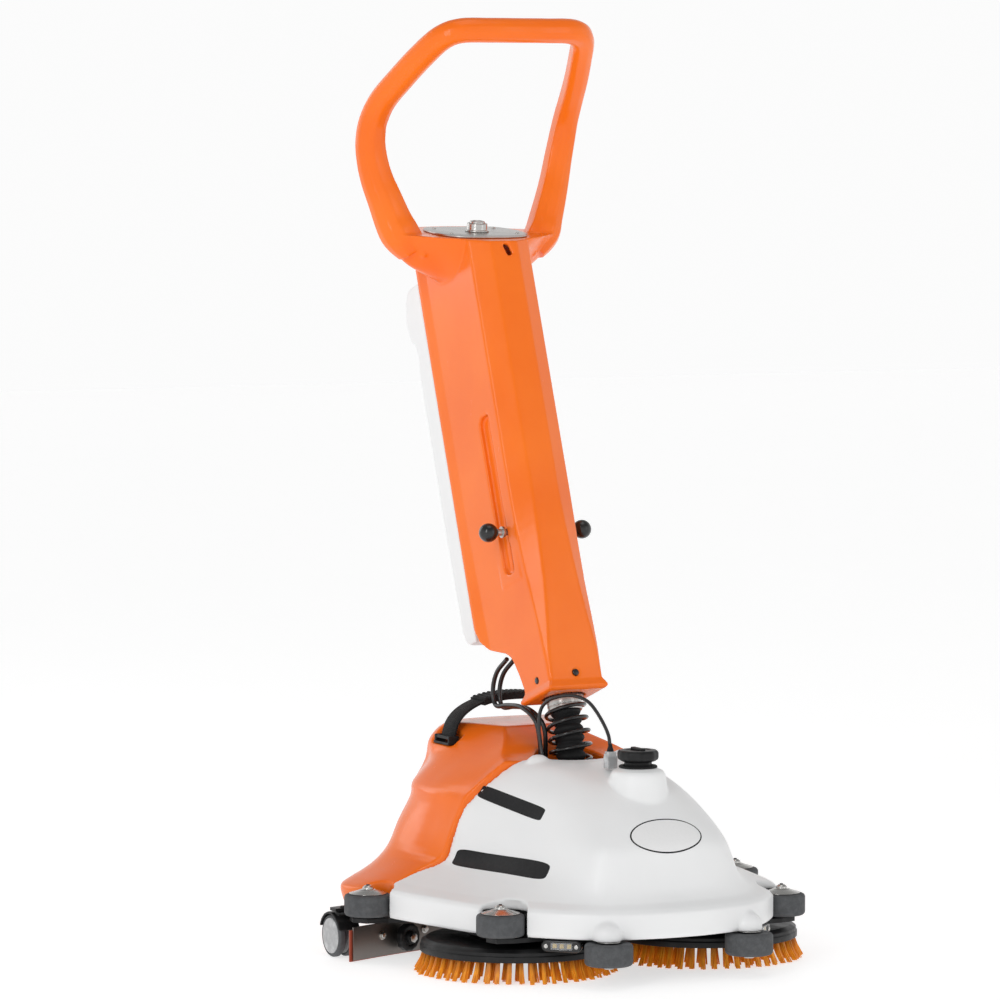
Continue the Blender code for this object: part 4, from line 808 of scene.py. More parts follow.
def column_ring(section, inset=0.0, back=COLUMN_BACK_T):
    s, half, front_x, front_t, edge_t, rear = section
    outline = [(front_x - 0.4 * inset, front_t - inset), (half - inset, edge_t - 0.6 * inset),
               (half - inset, -104.0)]
    outline += [(rear - inset, -122.0), (rear - inset, back)]
    outline += [(-x, t) for x, t in reversed(outline)]
    return [on_column(x, t, s) for x, t in outline]


def rounded_slot(middle, width):
    half = width / 2.0
    outline = []
    for end, start in ((SLOT_S[1] - half, 0.0), (SLOT_S[0] + half, 180.0)):
        for step in range(13):
            angle = math.radians(start + 15.0 * step)
            outline.append((middle + half * math.cos(angle), end + half * math.sin(angle)))
    return outline


def build_handle():
    line = smooth_line([place(x, f, z) for x, f, z, _ in HANDLE], 5)
    sizes = [p.x for p in smooth_line([Vector((row[3], 0.0, 0.0)) for row in HANDLE], 5)]
    line = [Vector((-p.x, p.y, p.z)) for p in line] + list(reversed(line[:-1]))
    sizes += list(reversed(sizes[:-1]))
    grip = []
    for i, (a, b) in enumerate(GRIP):
        crease = i == 2
        before, after = Vector(GRIP[i - 1]), Vector(GRIP[(i + 1) % len(GRIP)])
        here = Vector((a, b))
        reach = 0.1 if crease else 0.3
        grip += [here.lerp(before, reach), here * (0.995 if crease else 0.99), here.lerp(after, reach)]

    def section(i):
        return [(sizes[i] * p.x, sizes[i] * p.y) for p in grip]

    handle = new_object("handle", swept(line, section, up=COLUMN_FORWARD))
    levels = []
    for height, half in CHEEKS.items():
        loop = rounded([Vector(p) for p in mirrored(list(half))], 4)
        levels.append([on_top(p.x, p.y, height) for p in loop])
    join(handle, stacked(smooth_rings(levels, 4)))
    for sign, _ in SIDES:
        boss = [(0.0, -14.0), (10.5, -14.0), (10.5, 4.5), (8.5, 8.0), (5.0, 9.6), (0.0, 10.2)]
        axis = Vector((sign * 0.9, -0.35, -0.15)).normalized()
        join(handle, turned(boss, on_top(sign * 78.0, 3.0, -21.0), axis=tuple(axis), steps=40, edge=2.0))
    cut(handle, above_top(0.0, 76.0, 90.0, -120.0, 40.0))
    return handle


def slot_walls():
    """Thick patches of the side walls, round the two slots."""
    back, front = SLOT_T - 26.0, 15.0
    low, high = SLOT_S[0] - 12.0, SLOT_S[1] + 12.0
    outline = [(back, low), (front, low), (front, high), (back, high)]
    return [cross_slab(outline, *across, on_column) for across in ((-43.0, -34.0), (34.0, 43.0))]


def build_column(look):
    rings = smooth_rings([column_ring(section) for section in SECTIONS], 4)
    shell = new_object("orange_column_and_handle", stacked(rings))
    under = [(-240, -20), (-33.5, -20), (-33.5, 12), (-40, 32), (-47, 49), (-54, 60), (-66, 68), (-90, 77)]
    under += [(-108, 84.5), (-120, 97), (-126, 111), (-240, 117)]
    cut(shell, cross_slab(under, -80.0, 80.0, on_column))
    lip = []
    for s, half, front, back in ((-8, 39, 39, -39), (-5, 43, 43, -43), (-2, 42, 42.5, -42),
                                 (6, 38.4, 39, -34)):
        corners = ((half, front), (half, back), (-half, back), (-half, front))
        lip.append([on_column(x, t, s) for x, t in corners])
    join(shell, stacked(lip))
    cut(shell, above_top(0.0, 80.0))
    join(shell, room_for(build_handle()))
    join(shell, *slot_walls())
    rows = [(95.0, *SECTIONS[3][1:]), (142.0, *SECTIONS[4][1:]), SECTIONS[5], SECTIONS[6],
            (HOUSING_S[1], *SECTIONS[6][1:])]
    rows = [column_ring(row, 3.5, -160.0) for row in rows]
    rows += [column_ring((s, *SECTIONS[6][1:]), 3.5, -124.5) for s in (HOUSING_S[1] + 1.0, 700.0)]
    hollow = new_object("hollow", stacked(rows))
    cut(hollow, *slot_walls())
    cut(hollow, above_top(-6.0, 80.0))
    cut(shell, room_for(hollow))
    collar_room = turned(disc(27.0, -30.0, 18.0), place(0.0, JOINT_F, JOINT_Z) + COLUMN_AXIS * 0.073,
                         COLUMN_AXIS, edge=0.0)
    foot_ring = [(33.5, 33), (33.5, -27), (-33.5, -27), (-33.5, 33)]
    foot_room = stacked([[on_column(x, t, s) for x, t in foot_ring] for s in (8.0, 70.0)])
    button_room = turned(disc(11.6, -14.0, 8.0), on_top(0.0, 0.0, 0.0), axis=TOP_NORMAL, edge=0.0)
    cut(shell, collar_room, foot_room, button_room)
    for low, high in ((-60.0, -37.5), (37.5, 60.0)):
        cut(shell, cross_slab(rounded_slot(SLOT_T, SLOT_W), low, high, on_column))
    cut(shell, cross_slab(rounded_slot(ROD_T, 10.6), -60.0, 60.0, on_column))
    for x, t, s, axis in screw_places():
        cut(shell, turned(disc(5.0, -3.0, 12.0), on_column(x, t, s), axis=axis, steps=32, edge=0.0))
    ends = [on_column(1.5, 39.5, 590.0), on_column(7.0, 39.5, 574.0)]
    bar = [ends[0].lerp(ends[1], k / 10.0) for k in range(11)]
    cut(shell, swept(bar, ring_section(4.4, 16), up=COLUMN_FORWARD))
    melt(shell, 1.6, 3)
    return finish_piece(shell, "column", "shell_orange", look, "column_shell", "handle_loop")


def room_for(target):
    bm = bmesh.new()
    bm.from_mesh(target.data)
    bpy.data.objects.remove(target)
    return bm


def screw_places():
    forward = (0.0, -math.cos(TILT), math.sin(TILT))
    return (
        (0.0, 39.8, 14.0, forward),
        (-38.8, 4.0, 14.0, (-1.0, 0.0, 0.0)),
        (38.8, 4.0, 14.0, (1.0, 0.0, 0.0)),
    )


def build_housing(look):
    """The white rear housing: a grip swell at its top, a rolled lower end, and rounded long edges."""
    half = COLUMN_HALF_W + 2.0
    low, high = HOUSING_S
    keys = (
        (0, -151), (4, -160), (10, -166), (24, -170), (200, -172.5), (372, -173), (394, -168.5),
        (412, -170.5), (428, -183), (450, -187.5), (474, -181), (486, -173), (490, -165),
    )
    front = COLUMN_BACK_T - 0.3
    rings = []
    for (s0, back0), (s1, back1) in zip(keys, keys[1:]):
        for step in range(6):
            u = step / 6
            back = back0 + (back1 - back0) * u * u * (3 - 2 * u)
            rings.append((low + s0 + (s1 - s0) * u, back))
    rings.append((high, keys[-1][1]))
    solid = []
    for s, back in rings:
        outline = [(half, front), (half, back + 12.0), (half - 3.5, back + 3.5), (half - 12.0, back)]
        outline += [(-x, t) for x, t in reversed(outline)]
        solid.append([on_column(x, t, s) for x, t in outline])
    pack = new_object("white_rear_housing", stacked(solid))
    melt(pack, 1.9, 4)
    cells = [(front - 4.0, 138.0), (front - 4.0, 560.0), (-62.0, 560.0), (-62.0, 138.0)]
    join(pack, cross_slab(cells, -37.0, 37.0, on_column))
    return finish_piece(pack, "battery", "tank_white", look, "battery_pack")


# ---------------------------------------------------------------- brushes
BRUSH_X = 134.0
TUFT_ROWS = ((66.0, 26), (78.0, 31), (90.0, 37), (102.0, 45), (114.0, 54))


def build_brushes(black, bristle):
    for sign, side in SIDES:
        centre = place(sign * BRUSH_X, 0.0, 0.0)
        profile = [(11, 26), (120, 26), (120, 33), (118.6, 34), (118.6, 38), (112, 42), (62, 42), (58, 44.5)]
        profile += [(34, 44.5), (29, 48), (11, 48)]
        body = f"brush_{side}"
        piece(f"brush_plate_{side}", turned(profile, centre, steps=128), body, "brush_plastic", black,
              f"brush_disc_{side}")
        draw = random.Random(7 + sign)
        bm = bmesh.new()
        for root_r, count in TUFT_ROWS:
            turn = draw.random()
            for k in range(count):
                angle = 2.0 * math.pi * (k + turn + draw.uniform(-0.12, 0.12)) / count
                add_tuft(bm, draw, centre, root_r + draw.uniform(-1.0, 1.0), angle)
        piece(f"brush_tufts_{side}", bm, body, "bristle", bristle, f"brush_bristles_{side}", smooth=50.0)


def add_tuft(bm, draw, centre, root_r, angle):
    """One bundle of strands, which leaves its hole together and splays outwards to the floor."""
    out = Vector((math.cos(angle), math.sin(angle), 0.0))
    round_ = Vector((-out.y, out.x, 0.0))
    tip_r = 66.0 + (root_r - 58.0) * (64.0 / 61.0)
    lean, twist = draw.uniform(-1.2, 1.2), draw.uniform(-1.1, 1.1)
    length = draw.uniform(0.0, 0.9)
    for _ in range(20):
        a, r = draw.uniform(0.0, 2.0 * math.pi), math.sqrt(draw.random())
        across, along = r * math.cos(a), r * math.sin(a)
        root = out * (root_r + 2.3 * across) + round_ * 2.3 * along
        tip = out * (tip_r + lean + 3.0 * across) + round_ * (twist + 3.5 * along)
        middle = root * 0.55 + tip * 0.45 - out * 0.8
        low = length + draw.uniform(0.0, 0.5)
        rows = []
        for spot, height, thick in ((root, 26.2, 0.62), (middle, 13.5, 0.66), (tip, low, 0.56)):
            row = []
            for corner in range(4):
                turn = math.pi * (0.25 + 0.5 * corner)
                offset = out * math.cos(turn) * thick + round_ * math.sin(turn) * thick
                row.append(bm.verts.new(centre + (spot + offset + UP * height) / 1000.0))
            rows.append(row)
        for upper, lower in zip(rows, rows[1:]):
            for i in range(4):
                j = (i + 1) % 4
                bm.faces.new((upper[i], upper[j], lower[j], lower[i]))
        bm.faces.new(rows[0][::-1])
        bm.faces.new(rows[-1])


# ---------------------------------------------------------------- rollers and wheels
WHEEL = (281.0, -201.0, 27.0)
ACROSS = (1.0, 0.0, 0.0)


def build_rollers(rubber, zinc, black):
    for sign, side in SIDES:
        for name, (x, f, low) in ROLLERS.items():
            centre = place(sign * x, f, low)
            tread = [(5.3, 0.6), (16.0, 0.6), (17.0, 0.0), (26.0, 0.0), (28.6, 1.2), (30.0, 3.8),
                     (30.0, 23.7)]
            tread += [(28.6, 26.3), (26.0, ROLLER_H), (17.0, ROLLER_H)]
            tread += [(16.0, ROLLER_H - 0.8), (5.3, ROLLER_H - 0.8)]
            body = f"{name}_roller_{side}"
            node = f"{name}_{side}_roller"
            piece(f"{node}_tread", turned(tread, centre, steps=96, edge=1.0), body, "roller_grey", rubber,
                  node)
            if name == "front":
                pin = [(0, -4.5), (5.6, -4.5), (6.5, -3.6), (6.5, -2.6), (9, -2.3), (9, -0.4), (5, -0.4),
                       (5, 27.8)]
                pin += [(13, 27.8), (15, 28.8), (15, 29.7), (0, 29.7)]
            else:
                pin = [(0, -1.7), (12, -1.7), (12, -0.4), (5, -0.4), (5, 27.8), (23.4, 27.8), (24, 28.6),
                       (12, 32.2)]
                pin += [(9.4, 33.4), (7.2, 33.4), (6.9, 36.0), (4.2, 38.2), (0, 39.0)]
            piece(f"{node}_cap", turned(pin, centre, steps=64), "chassis", "steel", zinc, f"{node}_mount")
            if name != "front":
                screw = turned([(0, 38.2), (2.4, 38.2), (2.4, 39.4), (0, 39.4)], centre, steps=6, edge=0.1)
                piece(f"{node}_socket", screw, "chassis", "black_plastic", black)


def build_rear_wheels(pale, tread_look, black, zinc):
    for sign, side in SIDES:
        x, f, z = WHEEL
        axle = place(sign * x, f, z)
        tread = bmesh.new()
        hub = bmesh.new()
        for way in (1.0, -1.0):
            rim = [(23.1, 3.4), (23.1, 13.0), (23.9, 13.4), (25.6, 12.6), (27.0, 10.6), (27.0, 5.4),
                   (25.6, 3.4)]
            turned([(r, way * h) for r, h in rim], axle, ACROSS, 96, 0.6, tread)
            face = [(8.0, 3.4), (22.8, 3.4), (22.8, 12.8), (22.0, 13.5), (12.0, 14.0), (10.6, 13.6),
                    (0.0, 13.6)]
            turned([(0.0, way * 3.4), *[(r, way * h) for r, h in face]], axle, ACROSS, 96, 0.4, hub)
        turned([(0.0, -3.6), (7.6, -3.6), (7.6, 3.6), (0.0, 3.6)], axle, ACROSS, 48, 0.0, hub)
        body = f"rear_wheel_{side}"
        piece(f"rear_tread_{side}", tread, body, "wheel_tread", tread_look)
        piece(f"rear_hub_{side}", hub, body, "wheel_tread", pale, f"rear_wheel_{side}")
        fork = smoothed_copy(f"rear_hood_{side}", f"rear_wheel_fork_{side}", 0.9, 4)
        finish_piece(fork, f"rear_fork_{side}", "black_plastic", black, f"rear_wheel_fork_{side}")


def smoothed_copy(name, node, voxel, rounds):
    """A CAD solid's own shape with its edges rounded as moulded or cast."""
    made = bpy.data.objects.new(name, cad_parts[node].data.copy())
    bpy.context.scene.collection.objects.link(made)
    return melt(made, voxel, rounds)


# ---------------------------------------------------------------- squeegee
CLAMP = (204.0, -180.4, 23.0)
PLATE_FRONT = 3.0


def squeegee_line(per=8):
    half = [(0.0, -226.0), (70.0, -222.0), (150.0, -202.0), (220.0, -178.0), (288.0, -150.0)]
    whole = [Vector((-x, f)) for x, f in reversed(half[1:])] + [Vector(p) for p in half]
    return smooth_line(whole, per)


def strip(front, back, low, high, reach=0.0):
    line = squeegee_line()
    if reach:
        line.insert(0, line[0] + (line[0] - line[1]).normalized() * reach)
        line.append(line[-1] + (line[-1] - line[-2]).normalized() * reach)
    outline = [(p.x, p.y + front) for p in line] + [(p.x, p.y + back) for p in reversed(line)]
    return slab(outline, low, high)


def build_squeegee(steel, red, black, zinc):
    piece("squeegee_plate", strip(PLATE_FRONT, 0.0, 1.4, 44.0), "squeegee", "steel", steel, "squeegee_bar",
          edge=0.6)
    piece("squeegee_lips", strip(-0.4, -4.0, 0.0, 40.0, 4.0), "squeegee", "blade_red", red, "squeegee_blade",
          edge=0.5)
    bracket = smoothed_copy("squeegee_yoke", "squeegee_bracket", 1.0, 3)
    finish_piece(bracket, "squeegee", "steel", black, "squeegee_bracket")
    for sign, side in SIDES:
        face = Vector((-sign * 0.34, -0.94, 0.0)).normalized()
        x, f, z = CLAMP
        centre = place(sign * x, f, z) + face * 0.0008
        knob = [(0, 0), (6, 0), (6, 4.6), (14.2, 5), (17.4, 7), (17.6, 15), (15.2, 16.6), (11, 16.2),
                (10, 14.6), (8, 14.6)]
        knob += [(7.4, 20), (0, 20)]
        made = turned(knob, centre, tuple(face), 96, 0.7, None, 12, 0.02)
        piece(f"clamp_knob_{side}", made, f"squeegee_clamp_{side}", "black_plastic", black,
              f"squeegee_knob_{side}")
        nut = turned([(0, 20.0), (6.4, 20.0), (6.4, 22.2), (0, 22.8)], centre, tuple(face), 6, 0.3)
        piece(f"clamp_nut_{side}", nut, f"squeegee_clamp_{side}", "steel", zinc, smooth=20.0)
        for along in (238.0, 166.0):
            spot = min(squeegee_line(16), key=lambda p: abs(p.x - sign * along))
            bolt_at = place(spot.x, spot.y + PLATE_FRONT, 28.0)
            bolt = bmesh.new()
            out = Vector((-sign * 0.36, -0.93, 0.0))
            turned([(0, 0), (6.0, 0), (6.0, 1.2), (0, 1.2)], bolt_at, tuple(out), 32, 0.2, bolt)
            turned([(0, 1.0), (4.4, 1.0), (4.4, 3.6), (3.6, 4.4), (0, 4.4)], bolt_at, tuple(out), 6, 0.3,
                   bolt)
            piece(f"plate_bolt_{side}_{int(along)}", bolt, "squeegee", "steel", zinc, smooth=20.0)


# ---------------------------------------------------------------- joint
PIVOT = place(0.0, JOINT_F, JOINT_Z)
COIL_TURNS = 7.3
STEPS_PER_TURN = 40
FOLD = 11.2  # the height of one fold of the boot


def joint_line(low, high, steps):
    """The bent centre line of the spring and bellows: upright, then along the column."""
    points = []
    for i in range(steps + 1):
        along = low + (high - low) * i / steps
        bend = min(1.0, max(0.0, (along + 30.0) / 60.0))
        ease = bend * bend * (3.0 - 2.0 * bend)
        if along <= 0.0:
            spot = PIVOT + UP * along / 1000.0
            spot.y += 0.012 * ease * math.sin(TILT)
        else:
            spot = PIVOT + COLUMN_AXIS * along / 1000.0
            spot.y += 0.012 * (1.0 - ease) * math.sin(TILT)
        points.append((spot, Matrix.Rotation(-TILT * ease, 4, "X"), along))
    return points


def bend_with_joint(target, lower, slot, look, *nodes):
    """Gives a half of the joint its material, hides the CAD nodes that it stands for, and bakes its placement
    into its mesh; both halves are handled alike.
    """
    target.data.materials.clear()
    target.data.materials.append(look)
    if nodes:
        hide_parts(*nodes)
    if lower:
        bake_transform(target)
    else:
        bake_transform(target)


def halves(rows, line):
    """The part of the rows below the pivot, and the part above it."""
    split = next(i for i, (_, _, along) in enumerate(line) if along >= 0.0)
    return (("lower", rows[: split + 1], True), ("upper", rows[split:], False))


def build_spring(gloss, rubber):
    line = joint_line(-63.5, 58.5, int(COIL_TURNS * STEPS_PER_TURN))
    path = []
    for i, (spot, turn, _) in enumerate(line):
        angle = 2.0 * math.pi * i / STEPS_PER_TURN
        path.append(spot + turn @ (Vector((25.6 * math.cos(angle), 25.6 * math.sin(angle), 0.0)) / 1000.0))
    for name, part, lower in halves(path, line):
        coil = new_object(f"coil_spring_{name}", swept(part, ring_section(2.6, 14)), 60.0)
        bend_with_joint(coil, lower, "spring_black", gloss, "joint_spring")
    line = joint_line(-66.0, 45.6, 160)
    circle = ring_section(1.0, 48)
    rows = []
    for spot, turn, along in line:
        fold = 0.5 + 0.5 * math.cos(2.0 * math.pi * along / FOLD)
        radius = 15.8 + 3.4 * fold**0.6
        rows.append([spot + turn @ (Vector((radius * c, radius * s, 0.0)) / 1000.0) for c, s in circle])
    for name, part, lower in halves(rows, line):
        boot = new_object(f"joint_boot_{name}", stacked(part), 70.0)
        bend_with_joint(boot, lower, "soft_rubber", rubber, "joint_bellows")


def build_joint(steel, black, gloss):
    axis = tuple(COLUMN_AXIS)
    collar = bmesh.new()
    ring = [(10.0, 46.2), (21.4, 46.2), (22.2, 47.6), (22.2, 52.6), (21.6, 53.2), (21.6, 53.8)]
    ring += [(22.2, 54.4), (22.2, 60.6), (21.2, 61.6), (10.0, 61.6)]
    turned(ring, PIVOT, axis, 96, 0.5, collar)
    piece("joint_collar", collar, "column", "steel", steel)
    washer = turned([(10.0, 62.2), (25.6, 62.2), (26.0, 63.0), (26.0, 70.0), (25.4, 70.6), (10.0, 70.6)],
                    PIVOT, axis, 96, 0.4)
    piece("joint_washer", washer, "column", "steel", gloss)
    seat = [(10.2, 188.0), (24.2, 188.0), (30.0, 190.6), (30.0, 195.0), (28.4, 196.0), (10.2, 196.0)]
    piece("spring_seat", turned(seat, place(0.0, JOINT_F, 0.0), steps=96), "chassis", "black_plastic", black)


# ---------------------------------------------------------------- column fittings
BALL_R = 12.3


def build_fittings(steel, black, gloss, zinc):
    middle = on_column(0.0, ROD_T, ROD_S)
    rod = turned([(0, -60), (4.5, -60), (4.5, 60), (0, 60)], middle, ACROSS, 48)
    for way in (-1.0, 1.0):
        spacer = [(4.0, way * 46.0), (7.4, way * 46.0), (7.4, way * 49.5), (4.0, way * 49.5)]
        turned(spacer, middle, ACROSS, 48, 0.4, rod)
    back, front, low, high = SLOT_T - 16.0, SLOT_T + 15.0, ROD_S - 15.0, ROD_S + 15.0
    slider = [(back, low), (front, low), (front, high), (back, high)]
    cross_slab(slider, -22.0, 22.0, on_column, rod)
    piece("lift_pin", rod, "lift_bar", "steel", steel, "lift_rod")
    for sign, side in SIDES:
        angles = [math.radians(a) for a in range(-60, 91, 6)]
        ball = [(0.0, -11.6), (5.6, -11.6)]
        ball += [(BALL_R * math.cos(a), BALL_R * math.sin(a)) for a in angles[:-1]]
        centre = on_column(sign * 68.0, ROD_T, ROD_S)
        made = turned([*ball, (0.0, BALL_R)], centre, (sign * 1.0, 0.0, 0.0), 64, 0.0)
        piece(f"ball_knob_{side}", made, "lift_bar", "black_plastic", gloss, f"lift_knob_{side}")
    for name, (x, t, s, axis) in zip(("front", "right", "left"), screw_places()):
        head = turned([(0, -9), (3.9, -9), (4.4, -1.4), (4.2, 0.2), (3.2, 0.9), (0, 1.1)], on_column(x, t, s),
                      axis, 48, 0.3)
        made = new_object(f"slot_screw_{name}", head, 35.0)
        groove = block((-0.6, -60.0, -3.0), (0.6, 60.0, 3.0))
        turn = UP.rotation_difference(Vector(axis)).to_matrix().to_4x4()
        bmesh.ops.translate(groove, vec=-place(0.0, 0.0, 0.0), verts=groove.verts)
        bmesh.ops.scale(groove, vec=(1.0, 0.1, 0.1), verts=groove.verts)
        bmesh.ops.translate(groove, vec=(0.0, 0.0, 0.0011), verts=groove.verts)
        bmesh.ops.transform(groove, matrix=Matrix.Translation(on_column(x, t, s)) @ turn, verts=groove.verts)
        cut(made, groove)
        finish_piece(made, "column", "black_plastic", gloss, f"foot_screw_{name}")


def build_control_plate(steel, zinc, black):
    half = [(0, 54), (24, 53), (42, 48), (54, 38), (61, 24), (64, 6), (64, -14), (60, -36), (52, -50),
            (40, -55), (0, -56)]
    outline = rounded([Vector(p) for p in mirrored(half)], 4)
    plate = new_object("control_panel", stacked([[on_top(p.x, p.y, h) for p in outline] for h in (0.3, 3.0)]),
                       30.0)
    centre = on_top(0.0, 0.0, 0.0)
    cut(plate, turned(disc(10.9, -20.0, 20.0), centre, TOP_NORMAL, edge=0.0))
    bevel(plate, 0.7)
    settle(plate, 30.0)
    finish_piece(plate, "column", "steel", steel, "control_plate")
    collar = [(10.8, 3.1), (15.6, 3.1), (15.6, 5.2), (13.6, 5.6), (13.4, 13.2), (12.6, 14.4), (10.8, 14.4)]
    piece("button_collar", turned(collar, centre, TOP_NORMAL, steps=96), "column", "steel", zinc)
    button = [(0.0, -18.0), (10.0, -18.0), (10.0, 16.0), (9.2, 17.0), (6.8, 17.2), (6.2, 16.5), (0.0, 16.5)]
    piece("start_button", turned(button, centre, TOP_NORMAL, steps=96, edge=0.4), "power_button", "steel",
          zinc, "power_button")
    for i, (x, forward) in enumerate(((-48, 22), (48, 22), (-44, -38), (44, -38))):
        screw = turned([(0, 3.0), (2.8, 3.0), (2.4, 4.1), (0, 4.6)], on_top(x, forward, 0.0), TOP_NORMAL,
                       steps=24, edge=0.2)
        piece(f"panel_screw_{i}", screw, "column", "steel", zinc)


# ---------------------------------------------------------------- filler, connector, lamps
def build_filler(black, white, rubber):
    centre = place(*FILLER, 0.0)
    cap = [(0, 236), (15.5, 236), (17, 238), (17, 261.5), (21, 262.4), (24.4, 264.6), (25.4, 267),
           (25.4, 273), (23.6, 276)]
    cap += [(16, 276.4), (15, 275.4), (0, 275.2)]
    piece("filler_knob", turned(cap, centre, steps=120, edge=0.8, lobes=10, depth=0.018), "filler_cap",
          "black_plastic", black, "filler_cap")
    oblong = ((-3.2, -14), (3.2, -14), (3.2, 14), (-3.2, 14))
    bar = stacked([[centre + Vector((x, y, z)) / 1000.0 for x, y in oblong] for z in (274.8, 279.0)])
    piece("filler_grip", bar, "filler_cap", "black_plastic", black, edge=1.0)
    ring = turned([(18.6, 254.4), (24.0, 254.4), (24.4, 255.6), (23.6, 257.0), (18.6, 257.0)], centre,
                  steps=72)
    piece("filler_gasket", ring, "chassis", "black_plastic", rubber)
    plug = bmesh.new()
    for x0, x1, f0, f1, z0, z1 in ((-22, -8, 22, 34, 249.2, 264.5), (-20.6, -9.4, 23, 33, 264.5, 270.5),
                                   (-23.2, -20.8, 25, 31, 256, 268)):
        block((x0, f0, z0), (x1, f1, z1), plug)
    made = new_object("sensor_plug", plug, 30.0)
    melt(made, 0.6, 3)
    finish_piece(made, "chassis", "connector_white", white, "sensor_connector")
    boot = turned([(0, 269.5), (4.6, 269.5), (4.2, 272.5), (3.0, 275.5), (2.4, 280.0), (0, 280.0)],
                  place(-15.0, 27.4, 0.0), steps=32)
    piece("sensor_boot", boot, "chassis", "cable_black", rubber)


LAMP = (141.0, 135.5, 48.0)


def build_lamps(case, glass, led, zinc):
    for sign, side in SIDES:
        middle = (sign * LAMP[0], LAMP[1])
        along = Vector((sign * 0.72, -0.69))
        out = Vector((sign * 0.69, 0.72))

        def spot(a, o, z):
            return place(middle[0] + along.x * a + out.x * o, middle[1] + along.y * a + out.y * o,
                         LAMP[2] + z)

        def oblong(half, height, o):
            ring = []
            for end in (1, -1):
                for step in range(17):
                    angle = math.radians(-90.0 + 180.0 * step / 16)
                    ring.append(spot(end * (half - height + height * math.cos(angle)), o,
                                     end * height * math.sin(angle)))
            return ring

        shape = stacked([oblong(25.0, 7.0, -4.0), oblong(25.5, 7.2, -3.0), oblong(25.5, 7.2, 3.6),
                         oblong(24.8, 6.6, 4.6)])
        lamp = new_object(f"lamp_bezel_{side}", shape, 40.0)
        window = [(-14.0, -4.6), (14.0, -4.6), (14.0, 4.6), (-14.0, 4.6)]
        cut(lamp, stacked([[spot(a, o, b) for a, b in window] for o in (0.6, 8.0)]))
        bevel(lamp, 0.4, 2)
        settle(lamp, 40.0)
        finish_piece(lamp, "chassis", "lamp_case", case, f"work_lamp_{side}")
        pane = stacked([[spot(a, o, b) for a, b in window] for o in (3.0, 4.0)])
        piece(f"lamp_pane_{side}", pane, "chassis", "lamp_case", glass, edge=0.3)
        chips = bmesh.new()
        for a in (-9.0, 0.0, 9.0):
            square = [(a - 2.6, -2.6), (a + 2.6, -2.6), (a + 2.6, 2.6), (a - 2.6, 2.6)]
            stacked([[spot(u, o, b) for u, b in square] for o in (0.5, 1.6)], chips)
        piece(f"lamp_chips_{side}", chips, "chassis", "lamp_case", led, edge=0.3)
        axis = Vector((out.x, -out.y, 0.0))
        for end in (-1, 1):
            screw = turned([(0, 4.4), (2.9, 4.4), (2.6, 5.6), (1.2, 5.9), (0, 5.2)],
                           spot(end * 19.4, 0.0, 0.0), tuple(axis), 32, 0.2)
            piece(f"lamp_screw_{side}_{end + 1}", screw, "chassis", "steel", zinc)


# ---------------------------------------------------------------- strap
def build_strap(web, pad_look, black):
    half = [(0.0, 314.0), (26.0, 312.5), (52.0, 306.5), (73.0, 296.0), (86.0, 282.0), (92.5, 263.5)]
    whole = [(-x, z) for x, z in reversed(half[1:])] + half
    line = smooth_line([place(x, STRAP_F, z) for x, z in whole], 8)
    section = [(-18.0, -0.9), (-17.4, -1.3), (17.4, -1.3), (18.0, -0.9), (18.0, 0.9), (17.4, 1.3),
               (-17.4, 1.3), (-18.0, 0.9)]
    piece("carry_webbing", swept(line, section), "recovery_tank", "strap_web", web, "tank_strap", smooth=50.0)
    pad = [p for p in line if abs(p.x) < 0.052]
    fine = smooth_line(pad, 4)

    def ribbed(i):
        rise = 4.1 + (1.2 if (i // 4) % 2 else 0.0)
        return [(-20, -3.2), (-17.6, -4.4), (17.6, -4.4), (20, -3.2), (20, 3.0), (17.6, rise), (-17.6, rise),
                (-20, 3.0)]

    piece("carry_pad", swept(fine, ribbed), "recovery_tank", "strap_web", pad_look, smooth=30.0)
    for sign, side in SIDES:
        buckle = bmesh.new()
        low, high = sorted((sign * 86.0, sign * 103.0))
        block((low, STRAP_F - 21.0, SEAT_Z + 0.4), (high, STRAP_F + 21.0, SEAT_Z + 3.6), buckle)
        for f in (-20.6, 16.8):
            block((low + 1.0, STRAP_F + f, SEAT_Z + 3.0), (high - 1.0, STRAP_F + f + 3.8, SEAT_Z + 12.0),
                  buckle)
        for x in (low + 2.0, low + 11.0):
            block((x, STRAP_F - 19.0, SEAT_Z + 7.6), (x + 3.4, STRAP_F + 19.0, SEAT_Z + 11.4), buckle)
        made = new_object(f"strap_slider_{side}", buckle, 30.0)
        melt(made, 0.7, 3)
        finish_piece(made, "recovery_tank", "black_plastic", black, f"strap_buckle_{side}")


# ---------------------------------------------------------------- cables
MAINS_R = 3.0
SENSOR_R = 2.3
# The leads' runs: power from the column down into the deck, and the sensor's from the deck to its plug.
POWER_ROUTE = (
    (-40, -204, 367.5), (-40, -232, 348), (-40, -243, 325), (-40, -235, 305), (-40, -202, 308),
    (-39, -168, 309), (-37, -139, 299), (-34, -129, 282), (-30, -129, 243), (-29, -128, 180),
    (-28, -126, 120), (-28, -124, 66.5),
)
SENSOR_ROUTE = (
    (-42, -94, 230), (-42, -106, 262), (-41, -114, 287), (-40, -111, 311), (-36.5, -94, 325), (-28, -72, 332),
    (-18, -53, 332), (-11, -34, 325), (-10, -8, 309), (-13, 18, 291), (-15, 27, 275.8),
)


